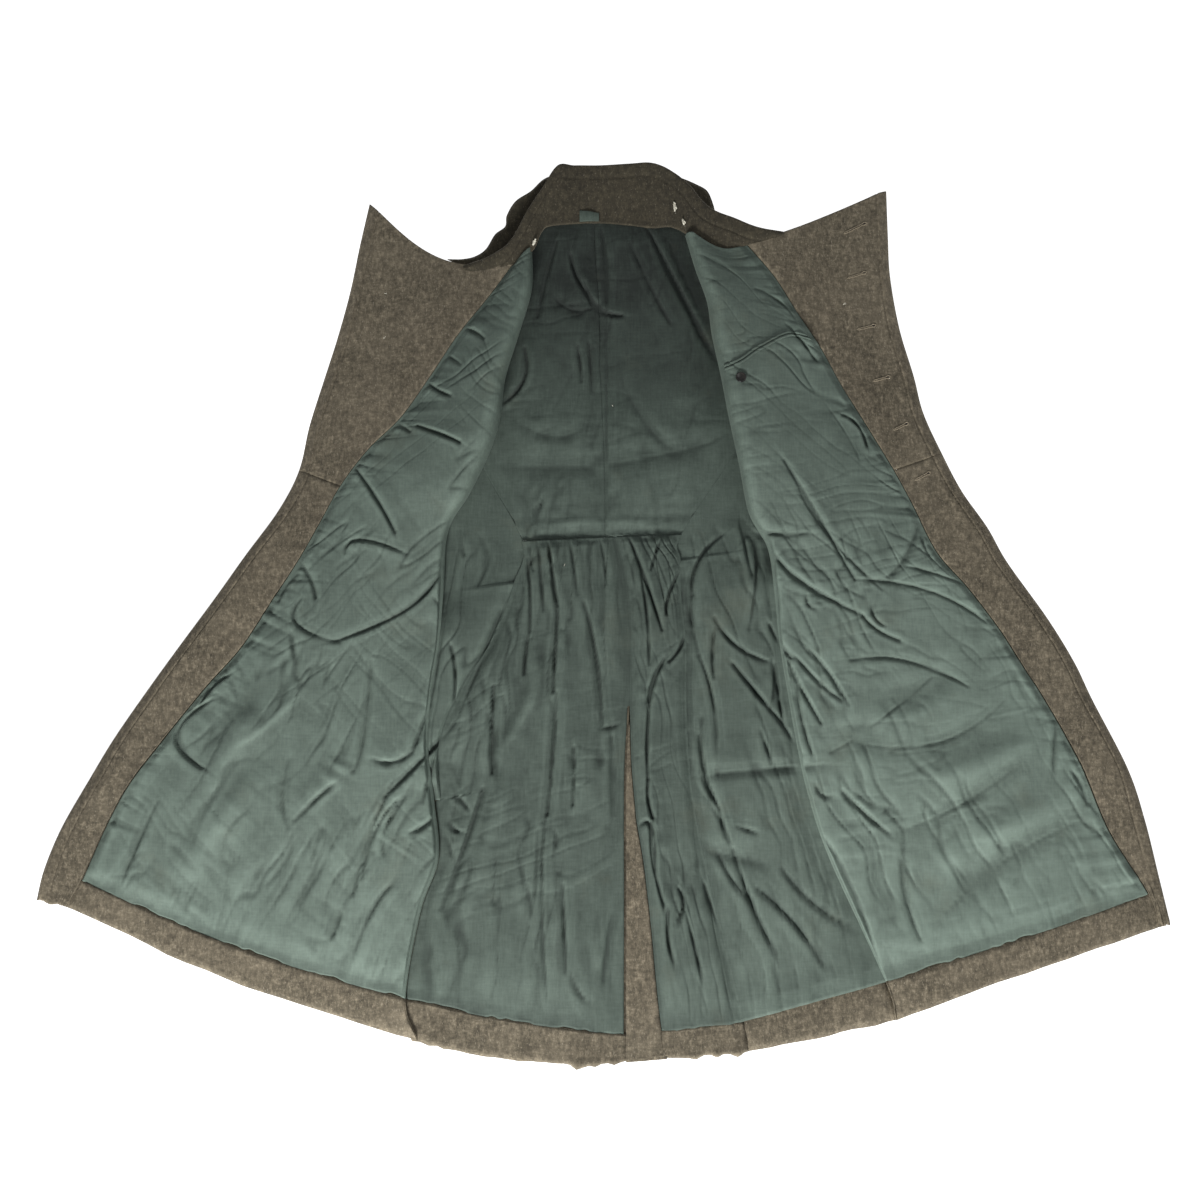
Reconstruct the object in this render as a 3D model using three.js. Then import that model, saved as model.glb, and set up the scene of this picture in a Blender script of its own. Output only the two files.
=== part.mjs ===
// Wool greatcoat laid open on its back, lining up, collar towards +Y. Millimetres, +Z up.
import * as THREE from "three";

const woolWall = 2.5;
const liningWall = 1;
const layerGap = 0.3;
const seamGap = 0.6;
const hemTurnUp = 2.4;
const edgeDrop = 18;
const liningFullness = 5;
const buttonRadius = 11.5;
const buttonHeight = 4.4;
const pocketButtonRadius = 7;
const sleeveGap = 1.7;
const plateauHeight = 9.8;
const rollRadius = { least: 4, upright: 8, perDegree: 0.15 };
const rollFoot = 7.3;
const collarWall = 4;
const planCentreX = 5;
const planCentreY = 12;

const waistRow = 7;
const facingWaistRow = 6;
const armholeFootRow = 6;
const liningHemRow = 15;
const hemRow = 16;
const leftSideEndRow = 12;

// Centre line of the back, from the neck seam to the hem; the two halves share it.
const centreLine = [
  { x: -8, y: 536 }, { x: -6, y: 480 }, { x: -3, y: 430 }, { x: -1, y: 375 },
  { x: 0, y: 320 }, { x: 3, y: 265 }, { x: 6, y: 190 }, { x: 7, y: 83 },
];
const skirtCentreLine = [
  { x: 20, y: 84 }, { x: 29, y: 45 }, { x: 37, y: -5 }, { x: 39, y: -70 }, { x: 39, y: -140 },
  { x: 35, y: -215 }, { x: 34, y: -290 }, { x: 34, y: -380 }, { x: 33, y: -553 }, { x: 33, y: -586 },
];

// Each front, a row for each section from the neck to the hem: its outer edge, the seam where the
// facing meets the lining, the innermost reach of its soft roll, heights, and the roll's turn.
const leftFront = [
  { edgeX: -319, edgeY: 556, seamX: -114, seamY: 465, innerX: -93, innerY: 485,
    seamZ: 22, rollZ: 24, turn: 180, facingSag: -40, liningSag: 0 },
  { edgeX: -331, edgeY: 492, seamX: -151, seamY: 411, innerX: -93, innerY: 424,
    seamZ: 24, rollZ: 34, turn: 180, facingSag: -8, liningSag: 0 },
  { edgeX: -342, edgeY: 427, seamX: -191, seamY: 357, innerX: -111, innerY: 355,
    seamZ: 26, rollZ: 41, turn: 180, facingSag: 0, liningSag: 0 },
  { edgeX: -357, edgeY: 362, seamX: -227, seamY: 299, innerX: -127, innerY: 297,
    seamZ: 26, rollZ: 44, turn: 180, facingSag: 0, liningSag: 0 },
  { edgeX: -374, edgeY: 300, seamX: -265, seamY: 243, innerX: -133, innerY: 243,
    seamZ: 24, rollZ: 44, turn: 180, facingSag: 0, liningSag: 0 },
  { edgeX: -391, edgeY: 237, seamX: -308, seamY: 199, innerX: -147, innerY: 195,
    seamZ: 22, rollZ: 42, turn: 180, facingSag: 0, liningSag: 0 },
  { edgeX: -403, edgeY: 175, seamX: -344, seamY: 150, innerX: -172, innerY: 141,
    seamZ: 19, rollZ: 36, turn: 180, facingSag: 0, liningSag: 0 },
  { edgeX: -428, edgeY: 121, seamX: -370, seamY: 101, innerX: -201, innerY: 89,
    seamZ: 16, rollZ: 24, turn: 150, facingSag: 0, liningSag: 0 },
  { edgeX: -470, edgeY: 59, seamX: -397, seamY: 51, innerX: -206, innerY: 8,
    seamZ: 14, rollZ: 14, turn: 60, facingSag: 0, liningSag: 0 },
  { edgeX: -508, edgeY: 1, seamX: -432, seamY: -6, innerX: -210, innerY: -55,
    seamZ: 12, rollZ: 11, turn: 30, facingSag: 0, liningSag: 0 },
  { edgeX: -551, edgeY: -62, seamX: -469, seamY: -66, innerX: -219, innerY: -121,
    seamZ: 11, rollZ: 11, turn: 30, facingSag: 0, liningSag: 0 },
  { edgeX: -589, edgeY: -119, seamX: -514, seamY: -119, innerX: -222, innerY: -192,
    seamZ: 10, rollZ: 11, turn: 40, facingSag: 0, liningSag: 0 },
  { edgeX: -629, edgeY: -182, seamX: -568, seamY: -190, innerX: -213, innerY: -262,
    seamZ: 10.2, rollZ: 12, turn: 60, facingSag: 0, liningSag: 0 },
  { edgeX: -658, edgeY: -235, seamX: -607, seamY: -245, innerX: -206, innerY: -335,
    seamZ: 10.2, rollZ: 13, turn: 80, facingSag: 0, liningSag: 0 },
  { edgeX: -690, edgeY: -297, seamX: -635, seamY: -300, innerX: -227, innerY: -400,
    seamZ: 6, rollZ: 12, turn: 80, facingSag: 0, liningSag: -4 },
  { edgeX: -709, edgeY: -350, seamX: -660, seamY: -363, innerX: -244, innerY: -509,
    seamZ: 5, rollZ: 9, turn: 60, facingSag: 0, liningSag: -12 },
  { edgeX: -716, edgeY: -388, seamX: -677, seamY: -396, innerX: -227, innerY: -560,
    seamZ: 4, rollZ: 5, turn: 30, facingSag: 0, liningSag: -13 },
];
const rightFront = [
  { edgeX: 397, edgeY: 575, seamX: 200, seamY: 488, innerX: 117, innerY: 504,
    seamZ: 21, rollZ: 26, turn: 180, facingSag: -4, liningSag: -14 },
  { edgeX: 397, edgeY: 508, seamX: 236, seamY: 442, innerX: 130, innerY: 454,
    seamZ: 22, rollZ: 34, turn: 180, facingSag: 0, liningSag: -3 },
  { edgeX: 398, edgeY: 449, seamX: 265, seamY: 392, innerX: 145, innerY: 406,
    seamZ: 23, rollZ: 40, turn: 180, facingSag: 0, liningSag: 0 },
  { edgeX: 408, edgeY: 375, seamX: 296, seamY: 341, innerX: 151, innerY: 358,
    seamZ: 23, rollZ: 42, turn: 180, facingSag: 0, liningSag: 0 },
  { edgeX: 425, edgeY: 307, seamX: 323, seamY: 288, innerX: 162, innerY: 302,
    seamZ: 22, rollZ: 42, turn: 180, facingSag: 0, liningSag: 0 },
  { edgeX: 436, edgeY: 255, seamX: 355, seamY: 233, innerX: 172, innerY: 244,
    seamZ: 20, rollZ: 41, turn: 180, facingSag: 0, liningSag: 0 },
  { edgeX: 459, edgeY: 198, seamX: 390, seamY: 172, innerX: 185, innerY: 178,
    seamZ: 18, rollZ: 38, turn: 180, facingSag: 0, liningSag: 0 },
  { edgeX: 483, edgeY: 147, seamX: 413, seamY: 127, innerX: 197, innerY: 114,
    seamZ: 16, rollZ: 30, turn: 160, facingSag: 0, liningSag: 0 },
  { edgeX: 515, edgeY: 97, seamX: 444, seamY: 61, innerX: 221, innerY: 69,
    seamZ: 14, rollZ: 19, turn: 80, facingSag: 0, liningSag: 0 },
  { edgeX: 539, edgeY: 50, seamX: 483, seamY: 14, innerX: 229, innerY: 8,
    seamZ: 12, rollZ: 13, turn: 30, facingSag: 0, liningSag: 0 },
  { edgeX: 588, edgeY: -25, seamX: 523, seamY: -42, innerX: 234, innerY: -55,
    seamZ: 11, rollZ: 11, turn: 30, facingSag: 0, liningSag: 0 },
  { edgeX: 620, edgeY: -83, seamX: 550, seamY: -88, innerX: 243, innerY: -121,
    seamZ: 10, rollZ: 11, turn: 30, facingSag: 0, liningSag: 0 },
  { edgeX: 641, edgeY: -133, seamX: 579, seamY: -137, innerX: 254, innerY: -192,
    seamZ: 10.2, rollZ: 11, turn: 30, facingSag: 0, liningSag: 0 },
  { edgeX: 681, edgeY: -221, seamX: 619, seamY: -217, innerX: 267, innerY: -256,
    seamZ: 10.2, rollZ: 10, turn: 30, facingSag: 0, liningSag: 0 },
  { edgeX: 699, edgeY: -287, seamX: 652, seamY: -302, innerX: 293, innerY: -338,
    seamZ: 6, rollZ: 9, turn: 30, facingSag: 0, liningSag: -2 },
  { edgeX: 713, edgeY: -363, seamX: 697, seamY: -380, innerX: 359, innerY: -488,
    seamZ: 5, rollZ: 7, turn: 30, facingSag: 0, liningSag: -3 },
  { edgeX: 723, edgeY: -418, seamX: 709, seamY: -420, innerX: 370, innerY: -535,
    seamZ: 4, rollZ: 5, turn: 30, facingSag: 0, liningSag: 0 },
];

// Outer boundary of each back half: the armhole down to row 6, then the side-back seam.
const leftBack = [
  { x: -76, y: 530 }, { x: -106, y: 478 }, { x: -120, y: 425 }, { x: -132, y: 375 }, { x: -147, y: 320 },
  { x: -155, y: 262 }, { x: -160, y: 190 }, { x: -103, y: 79 }, { x: -113, y: 22 }, { x: -140, y: -52 },
  { x: -180, y: -118 }, { x: -208, y: -190 }, { x: -206, y: -262 },
];
const rightBack = [
  { x: 112, y: 527 }, { x: 143, y: 474 }, { x: 161, y: 428 }, { x: 169, y: 373 }, { x: 180, y: 316 },
  { x: 190, y: 258 }, { x: 184, y: 206 }, { x: 108, y: 88 }, { x: 106, y: 52 }, { x: 107, y: -1 },
  { x: 113, y: -60 }, { x: 112, y: -125 }, { x: 114, y: -198 }, { x: 121, y: -270 }, { x: 138, y: -360 },
  { x: 178, y: -537 }, { x: 185, y: -574 },
];
const leftSideTop = [{ x: -178, y: 200 }, { x: -209, y: 95 }];
const rightSideTop = [{ x: 203, y: 216 }, { x: 218, y: 118 }];

// Width of the vent's wool facing on the right skirt, a value for each row from 10 to 16.
const ventTopRow = 11;
const ventWidth = [0, 6, 13, 26, 45, 52];

// The left side's slit opens from this row, over so many rows.
const slitRow = 10.5;
const slitRows = 1.5;

// The left skirt's hem hangs lower between the vent and the side.
const backHemSag = 12;
const backHemSagRow = 14;

// Reach of each sleeve under its front: distance from the front's edge and from its inner reach.
const sleeveReach = [
  { row: 1, fromEdge: 110, fromInner: 76 }, { row: 3, fromEdge: 72, fromInner: 46 },
  { row: 5, fromEdge: 56, fromInner: 42 }, { row: 7, fromEdge: 50, fromInner: 34 },
  { row: 9, fromEdge: 54, fromInner: 40 }, { row: 11, fromEdge: 66, fromInner: 140 },
  { row: 12.4, fromEdge: 82, fromInner: 210 },
];

// The folds and pleats of the lining: each a bent line with its rise (negative for a trough).
const folds = [
  { fromX: -68, fromY: 78, midX: -52, midY: -81, toX: -70, toY: -511, rise: -5, width: 9 },
  { fromX: -96, fromY: 55, midX: -91, midY: -21, toX: -99, toY: -88, rise: -3, width: 8 },
  { fromX: -107, fromY: 76, midX: -145, midY: -79, toX: -216, toY: -211, rise: -5, width: 9 },
  { fromX: -84, fromY: -73, midX: -91, midY: -133, toX: -130, toY: -203, rise: 4, width: 11 },
  { fromX: -138, fromY: -117, midX: -142, midY: -172, toX: -141, toY: -230, rise: -5, width: 8 },
  { fromX: -151, fromY: -247, midX: -175, midY: -323, toX: -202, toY: -399, rise: -4.5, width: 9 },
  { fromX: -109, fromY: -185, midX: -138, midY: -300, toX: -165, toY: -395, rise: 5, width: 15 },
  { fromX: -21, fromY: -5, midX: -4, midY: -81, toX: 3, toY: -166, rise: -3.5, width: 8 },
  { fromX: -86, fromY: -291, midX: -79, midY: -348, toX: -92, toY: -415, rise: -4, width: 8 },
  { fromX: -49, fromY: -368, midX: -47, midY: -437, toX: -45, toY: -529, rise: -3.5, width: 9 },
  { fromX: 15, fromY: -436, midX: 0, midY: -476, toX: 3, toY: -523, rise: -3, width: 8 },
  { fromX: -190, fromY: 114, midX: -187, midY: -14, toX: -189, toY: -134, rise: -3.5, width: 7 },
  { fromX: -222, fromY: -437, midX: -219, midY: -480, toX: -213, toY: -525, rise: -5, width: 10 },
  { fromX: 40, fromY: 80, midX: 89, midY: -41, toX: 67, toY: -128, rise: -5, width: 9 },
  { fromX: 66, fromY: -140, midX: 58, midY: -243, toX: 70, toY: -349, rise: -4.5, width: 9 },
  { fromX: 55, fromY: -295, midX: 70, midY: -369, toX: 92, toY: -468, rise: -4.5, width: 8 },
  { fromX: 109, fromY: -403, midX: 120, midY: -449, toX: 129, toY: -492, rise: -3, width: 8 },
  { fromX: 167, fromY: 85, midX: 108, midY: 26, toX: 124, toY: -42, rise: -4, width: 9 },
  { fromX: 190, fromY: 105, midX: 206, midY: 26, toX: 198, toY: -56, rise: -3.5, width: 8 },
  { fromX: 222, fromY: 73, midX: 233, midY: 12, toX: 234, toY: -45, rise: -3.5, width: 8 },
  { fromX: 174, fromY: -86, midX: 218, midY: -133, toX: 261, toY: -204, rise: -3.5, width: 9 },
  { fromX: 133, fromY: -191, midX: 144, midY: -262, toX: 164, toY: -312, rise: -3.5, width: 9 },
  { fromX: 170, fromY: -323, midX: 193, midY: -394, toX: 222, toY: -454, rise: -4, width: 9 },
  { fromX: 131, fromY: -364, midX: 157, midY: -435, toX: 174, toY: -504, rise: 4, width: 12 },
  { fromX: 198, fromY: -374, midX: 243, midY: -415, toX: 280, toY: -467, rise: -3.5, width: 9 },
  { fromX: -386, fromY: -121, midX: -453, midY: -172, toX: -496, toY: -256, rise: 6, width: 24 },
  { fromX: -442, fromY: -245, midX: -484, midY: -290, toX: -532, toY: -374, rise: 6, width: 26 },
  { fromX: -328, fromY: 178, midX: -296, midY: 134, toX: -269, toY: 86, rise: 4, width: 18 },
  { fromX: -240, fromY: 20, midX: -280, midY: -5, toX: -360, toY: -40, rise: 4, width: 20 },
  { fromX: 570, fromY: -178, midX: 497, midY: -213, toX: 412, toY: -239, rise: 5, width: 20 },
  { fromX: 600, fromY: -260, midX: 500, midY: -305, toX: 420, toY: -350, rise: 5, width: 22 },
  { fromX: 470, fromY: -120, midX: 400, midY: -150, toX: 330, toY: -150, rise: 4, width: 20 },
  { fromX: 260, fromY: 170, midX: 310, midY: 100, toX: 360, toY: 40, rise: 4, width: 20 },
  { fromX: 62, fromY: 527, midX: 105, midY: 437, toX: 163, toY: 321, rise: -4, width: 12 },
  { fromX: 1, fromY: 524, midX: 8, midY: 466, toX: 9, toY: 401, rise: -4, width: 9 },
  { fromX: -89, fromY: 99, midX: -13, midY: 106, toX: 58, toY: 104, rise: 3, width: 9 },
  { fromX: -141, fromY: 184, midX: 0, midY: 181, toX: 153, toY: 214, rise: -4, width: 22 },
];

// The collar's stand, from the left lapel round the back neck to the right lapel.
const collarStand = [
  { seamX: -186, seamY: 465.2, foldX: -182, foldY: 472, height: 20 },
  { seamX: -150, seamY: 461.6, foldX: -147, foldY: 478, height: 22 },
  { seamX: -128, seamY: 464.6, foldX: -125, foldY: 492, height: 24 },
  { seamX: -112, seamY: 470, foldX: -111, foldY: 508, height: 25 },
  { seamX: -92, seamY: 489, foldX: -97, foldY: 537, height: 24 },
  { seamX: -83, seamY: 514, foldX: -82, foldY: 566, height: 19 },
  { seamX: -70, seamY: 532, foldX: -59, foldY: 600, height: 14 },
  { seamX: -35, seamY: 533.5, foldX: -35, foldY: 606, height: 9.8 },
  { seamX: 0, seamY: 533, foldX: 0, foldY: 608, height: 9.8 },
  { seamX: 39, seamY: 530.5, foldX: 39, foldY: 610, height: 9.8 },
  { seamX: 69, seamY: 528.5, foldX: 71, foldY: 608, height: 11.5 },
  { seamX: 94, seamY: 526, foldX: 101, foldY: 594, height: 15 },
  { seamX: 110, seamY: 520, foldX: 123, foldY: 572, height: 21 },
  { seamX: 119, seamY: 509, foldX: 136, foldY: 553, height: 25 },
  { seamX: 137, seamY: 499, foldX: 150, foldY: 538, height: 26 },
  { seamX: 153, seamY: 489.8, foldX: 165, foldY: 529, height: 26 },
  { seamX: 176, seamY: 485, foldX: 191, foldY: 518, height: 25 },
  { seamX: 206, seamY: 493, foldX: 216, foldY: 512, height: 22 },
  { seamX: 246, seamY: 508.5, foldX: 248, foldY: 518, height: 18 },
];

// Rows of the stand between which its hanger loop is sewn.
const hangerRows = [8.2, 8.96];

// The collar's fall, folded behind the stand: its two ends show beside it.
const collarFall = [
  { innerX: -184, innerY: 462, outerX: -210, outerY: 476 },
  { innerX: -172, innerY: 462, outerX: -190, outerY: 476 },
  { innerX: -158, innerY: 465, outerX: -172, outerY: 480 },
  { innerX: -140, innerY: 475, outerX: -157, outerY: 491 },
  { innerX: -128, innerY: 490, outerX: -145, outerY: 512 },
  { innerX: -118, innerY: 505, outerX: -131, outerY: 524 },
  { innerX: -112, innerY: 520, outerX: -129, outerY: 540 },
  { innerX: -104, innerY: 540, outerX: -117, outerY: 561 },
  { innerX: -92, innerY: 552, outerX: -96, outerY: 576 },
  { innerX: -70, innerY: 558, outerX: -74, outerY: 596 },
  { innerX: -36, innerY: 560, outerX: -36, outerY: 604 },
  { innerX: 0, innerY: 560, outerX: 0, outerY: 606 },
  { innerX: 40, innerY: 558, outerX: 42, outerY: 607 },
  { innerX: 76, innerY: 558, outerX: 84, outerY: 605 },
  { innerX: 100, innerY: 556, outerX: 112, outerY: 596 },
  { innerX: 118, innerY: 552, outerX: 134, outerY: 586 },
  { innerX: 130, innerY: 545, outerX: 149, outerY: 576 },
  { innerX: 138, innerY: 538, outerX: 157, outerY: 556 },
  { innerX: 140, innerY: 530, outerX: 160, outerY: 540 },
];

const buttonSeats = [
  { row: 0.85, gap: 0.2 }, { row: 1.85, gap: 0.25 }, { row: 2.95, gap: 0.4 },
  { row: 4.05, gap: 0.6 }, { row: 5.15, gap: 1.2 }, { row: 6.2, gap: 1.6 },
];
const buttonInset = 38;
const pocketMouth = [
  { row: 3.93, across: 2.25 }, { row: 3.81, across: 1.99 }, { row: 3.35, across: 1.71 },
  { row: 2.8, across: 1.31 }, { row: 2.82, across: 1.06 },
];
const pocketJet = { lip: 0.075, depth: 1.8 };
const pocketButton = { row: 4.16, across: 1.97 };

function radians(degrees) {
  return (degrees * Math.PI) / 180;
}

// Smooth value of one column at a fractional row, through the rows on both sides of it.
function between(table, column, row) {
  const last = table.length - 1;
  const clamped = Math.min(Math.max(row, 0), last);
  const start = Math.min(Math.floor(clamped), last - 1);
  const t = clamped - start;
  const p1 = table[start][column];
  const p2 = table[start + 1][column];
  const p0 = start > 0 ? table[start - 1][column] : 2 * p1 - p2;
  const p3 = start + 2 <= last ? table[start + 2][column] : 2 * p2 - p1;
  const cubic = 3 * (p1 - p2) + p3 - p0;
  const square = 2 * p0 - 5 * p1 + 4 * p2 - p3;
  return p1 + 0.5 * t * (p2 - p0 + t * (square + t * cubic));
}

function smooth(t) {
  const clamped = Math.min(Math.max(t, 0), 1);
  return clamped * clamped * (3 - 2 * clamped);
}

function mix(a, b, t) {
  return a + (b - a) * t;
}

// Distance in plan from a point to a fold's bent line, and how far along the line it falls.
function foldDistance(fold, x, y) {
  const legs = [[fold.fromX, fold.fromY, fold.midX, fold.midY], [fold.midX, fold.midY, fold.toX, fold.toY]];
  let nearest = { distance: Infinity, along: 0 };
  legs.forEach(([ax, ay, bx, by], leg) => {
    const lengthSquared = (bx - ax) ** 2 + (by - ay) ** 2;
    const t = Math.min(Math.max(((x - ax) * (bx - ax) + (y - ay) * (by - ay)) / lengthSquared, 0), 1);
    const distance = Math.hypot(x - ax - t * (bx - ax), y - ay - t * (by - ay));
    if (distance < nearest.distance) {
      nearest = { distance, along: (leg + t) / 2 };
    }
  });
  return nearest;
}

// Height that all the folds add to the lining at a point.
function foldHeight(x, y) {
  return folds.reduce((height, fold) => {
    const { distance, along } = foldDistance(fold, x, y);
    const fade = 0.35 + 0.65 * Math.sin(Math.PI * along);
    return height + fold.rise * fade * Math.exp(-((distance / fold.width) ** 2));
  }, 0);
}

// One closed cloth wall from a grid of points on its lower and its upper face.
function clothWall(rows, columns, place) {
  const positions = [];
  const indices = [];
  const width = columns.length;
  const layer = rows.length * width;
  const points = rows.map((row) => columns.map((column) => place(row, column)));
  points.forEach((line) => line.forEach(({ low }) => positions.push(...low)));
  points.forEach((line) => line.forEach(({ high }) => positions.push(...high)));
  const quad = (a, b, c, d) => indices.push(a, b, c, a, c, d);
  for (let i = 0; i < rows.length - 1; i += 1) {
    for (let j = 0; j < width - 1; j += 1) {
      const a = i * width + j;
      quad(a, a + 1, a + width + 1, a + width);
      quad(layer + a, layer + a + width, layer + a + width + 1, layer + a + 1);
    }
  }
  for (let i = 0; i < rows.length - 1; i += 1) {
    const left = i * width;
    const right = left + width - 1;
    quad(left, left + width, layer + left + width, layer + left);
    quad(right, layer + right, layer + right + width, right + width);
  }
  for (let j = 0; j < width - 1; j += 1) {
    const end = (rows.length - 1) * width + j;
    quad(j, layer + j, layer + j + 1, j + 1);
    quad(end, end + 1, layer + end + 1, layer + end);
  }
  const geometry = new THREE.BufferGeometry();
  geometry.setAttribute("position", new THREE.Float32BufferAttribute(positions, 3));
  geometry.setIndex(indices);
  if (signedVolume(positions, indices) < 0) {
    geometry.setIndex(indices.map((_, k) => indices[k - (k % 3) + [0, 2, 1][k % 3]]));
  }
  geometry.computeVertexNormals();
  return geometry;
}

function signedVolume(positions, indices) {
  let volume = 0;
  for (let k = 0; k < indices.length; k += 3) {
    const [a, b, c] = [0, 1, 2].map((corner) =>
      new THREE.Vector3().fromArray(positions, 3 * indices[k + corner]));
    volume += a.dot(b.cross(c)) / 6;
  }
  return volume;
}

// Evenly spaced values, with any special ones put in their order.
function steps(from, to, count, extra = []) {
  const even = Array.from({ length: count + 1 }, (_, k) => mix(from, to, k / count));
  return [...new Set([...even, ...extra])].sort((a, b) => a - b);
}

const coat = new THREE.Group();
coat.position.set(-planCentreX, -planCentreY, 0);
const wool = new THREE.MeshStandardMaterial({ color: 0x685d4e, roughness: 0.95, metalness: 0 });
const darkWool = new THREE.MeshStandardMaterial({ color: 0x4e4437, roughness: 0.95, metalness: 0 });
const lining = new THREE.MeshStandardMaterial({ color: 0x52655a, roughness: 0.75, metalness: 0 });
const horn = new THREE.MeshStandardMaterial({ color: 0x1d1a17, roughness: 0.4, metalness: 0 });

function add(name, geometry, material) {
  const mesh = new THREE.Mesh(geometry, material);
  mesh.name = name;
  coat.add(mesh);
  return mesh;
}

const halves = [
  { side: "l", sign: -1, front: leftFront, back: leftBack, sideTop: leftSideTop, sideEndRow: leftSideEndRow },
  { side: "r", sign: 1, front: rightFront, back: rightBack, sideTop: rightSideTop, sideEndRow: hemRow },
];

// Plan of a front at a row: its edge, seam, inward direction, and the arc of its soft roll.
function frontSection(half, row) {
  const value = (column) => between(half.front, column, row);
  const edge = new THREE.Vector2(value("edgeX"), value("edgeY"));
  const seam = new THREE.Vector2(value("seamX"), value("seamY"));
  const inner = new THREE.Vector2(value("innerX"), value("innerY"));
  const inward = inner.clone().sub(seam).normalize();
  const turn = radians(Math.min(value("turn"), 180));
  const fullRadius = (value("rollZ") - rollFoot) / (1 - Math.cos(turn));
  const widestRadius = rollRadius.upright + rollRadius.perDegree * Math.max(0, value("turn") - 90);
  const radius = Math.max(rollRadius.least, Math.min(fullRadius, widestRadius));
  const reach = (radius + layerGap + liningWall) * Math.sin(Math.min(turn, Math.PI / 2));
  const rollStart = inner.clone().addScaledVector(inward, -reach);
  return {
    edge, seam, inner, inward, turn, radius, rollStart,
    seamZ: value("seamZ"), rollZ: value("rollZ"),
    facingSag: value("facingSag"), liningSag: value("liningSag"),
  };
}

// Point of a front above its wool shell by a lift: across is 0 at the edge, 1 at the facing seam,
// 2 where the roll starts and 3 where it ends.
function frontPoint(half, row, across, lift) {
  const s = frontSection(half, row);
  if (across > 2) {
    const angle = s.turn * (across - 2);
    const out = s.radius + lift;
    const plan = s.rollStart.clone().addScaledVector(s.inward, out * Math.sin(angle));
    return [plan.x, plan.y, s.rollZ - s.radius + out * Math.cos(angle)];
  }
  if (across > 1) {
    const t = across - 1;
    const plan = s.seam.clone().lerp(s.rollStart, t);
    const height = mix(s.seamZ, s.rollZ, smooth(t));
    return [plan.x, plan.y + s.liningSag * Math.sin(Math.PI * t), height + lift];
  }
  const plan = s.edge.clone().lerp(s.seam, across);
  const run = across * s.edge.distanceTo(s.seam);
  const plateau = Math.min(plateauHeight, s.seamZ);
  const inland = Math.max(0, across - edgeDrop / s.edge.distanceTo(s.seam));
  const height = mix(woolWall, plateau, smooth(run / edgeDrop)) + (s.seamZ - plateau) * smooth(inland);
  return [plan.x, plan.y + s.facingSag * Math.sin(Math.PI * across), height + lift];
}

// Lift of the lining's lower face on a front: the folds rise from it, and die out under the roll.
function frontLiningLift(half, row, across) {
  const [x, y] = frontPoint(half, row, across, 0);
  const fade = smooth((across - 1) * 8) * smooth((2.25 - across) * 3) * smooth((liningHemRow - row) * 2);
  return layerGap + Math.max(0, foldHeight(x, y) + 0.8) * fade;
}

function wallOn(half, row, across, low, high) {
  return { low: frontPoint(half, row, across, low), high: frontPoint(half, row, across, high) };
}

const foot = 0.006; // half of the waist seam's gap, in rows
const hemStep = 0.06; // rows in which the turned-up hem thickens
const edgeShare = 0.2; // column that is moved to where the edge's drop ends
const edgeShareLimit = 0.45;
const shellColumns = [0, edgeShare, 0.5, 0.75, 1, 1.02, 1.2, 1.4, 1.6, 1.8, 2, 2.33, 2.67, 3];
const liningColumns = [1.004, 1.02, 1.2, 1.4, 1.6, 1.8, 2, 2.33, 2.67, 3];
const facingColumns = [0, edgeShare, 0.5, 0.75, 0.997];

// Places that a front's first columns keep near its edge, where it drops to the ground.
function edgeColumn(half, row, column) {
  if (column !== edgeShare) {
    return column;
  }
  const s = frontSection(half, row);
  return Math.min(edgeDrop / s.edge.distanceTo(s.seam), edgeShareLimit);
}

function addFront(half) {
  const bodiceRows = steps(0, facingWaistRow, 10).map((row) => (row === facingWaistRow ? row - foot : row));
  const skirtRows = steps(facingWaistRow, hemRow, 15, [liningHemRow, liningHemRow + hemStep])
    .map((row) => (row === facingWaistRow ? row + foot : row));
  const shellPlace = (row, column) => {
    const turnUp = row > liningHemRow && column > 1 ? hemTurnUp : 0;
    return wallOn(half, row, edgeColumn(half, row, column), -woolWall, turnUp);
  };
  const facingPlace = (row, column) =>
    wallOn(half, row, edgeColumn(half, row, column), layerGap, layerGap + woolWall);
  add(`shell_front_bodice_${half.side}`, clothWall(bodiceRows, shellColumns, shellPlace), wool);
  add(`shell_front_skirt_${half.side}`, clothWall(skirtRows, shellColumns, shellPlace), wool);
  add(`facing_bodice_${half.side}`, clothWall(bodiceRows, facingColumns, facingPlace), wool);
  add(`facing_skirt_${half.side}`, clothWall(skirtRows, facingColumns, facingPlace), wool);
  const liningRows = [...bodiceRows, ...skirtRows.filter((row) => row <= liningHemRow)]
    .filter((row) => row !== facingWaistRow + foot);
  const liningPlace = (row, across) => {
    const lift = frontLiningLift(half, row, across);
    return wallOn(half, row, across, lift, lift + liningWall);
  };
  add(`lining_front_${half.side}`, clothWall(liningRows, liningColumns, liningPlace), lining);
}

const frontJoinRow = 8; // from here down the side panel is sewn to the front

// Boundaries of the back and the side of a half, at a row.
function backEdge(half, row) {
  if (row > leftSideEndRow && half.side === "l") {
    return sideEdge(half, row);
  }
  return { x: between(half.back, "x", row), y: between(half.back, "y", row) };
}

function sideEdge(half, row) {
  const besideFront = (atRow) => {
    const s = frontSection(half, atRow);
    return s.inner.addScaledVector(s.inward, seamGap);
  };
  const [top, waist] = half.sideTop;
  if (row >= frontJoinRow) {
    return besideFront(row);
  }
  if (row >= waistRow) {
    const under = besideFront(frontJoinRow);
    return { x: mix(waist.x, under.x, row - waistRow), y: mix(waist.y, under.y, row - waistRow) };
  }
  const t = row - armholeFootRow;
  return { x: mix(top.x, waist.x, t), y: mix(top.y, waist.y, t) };
}

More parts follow.
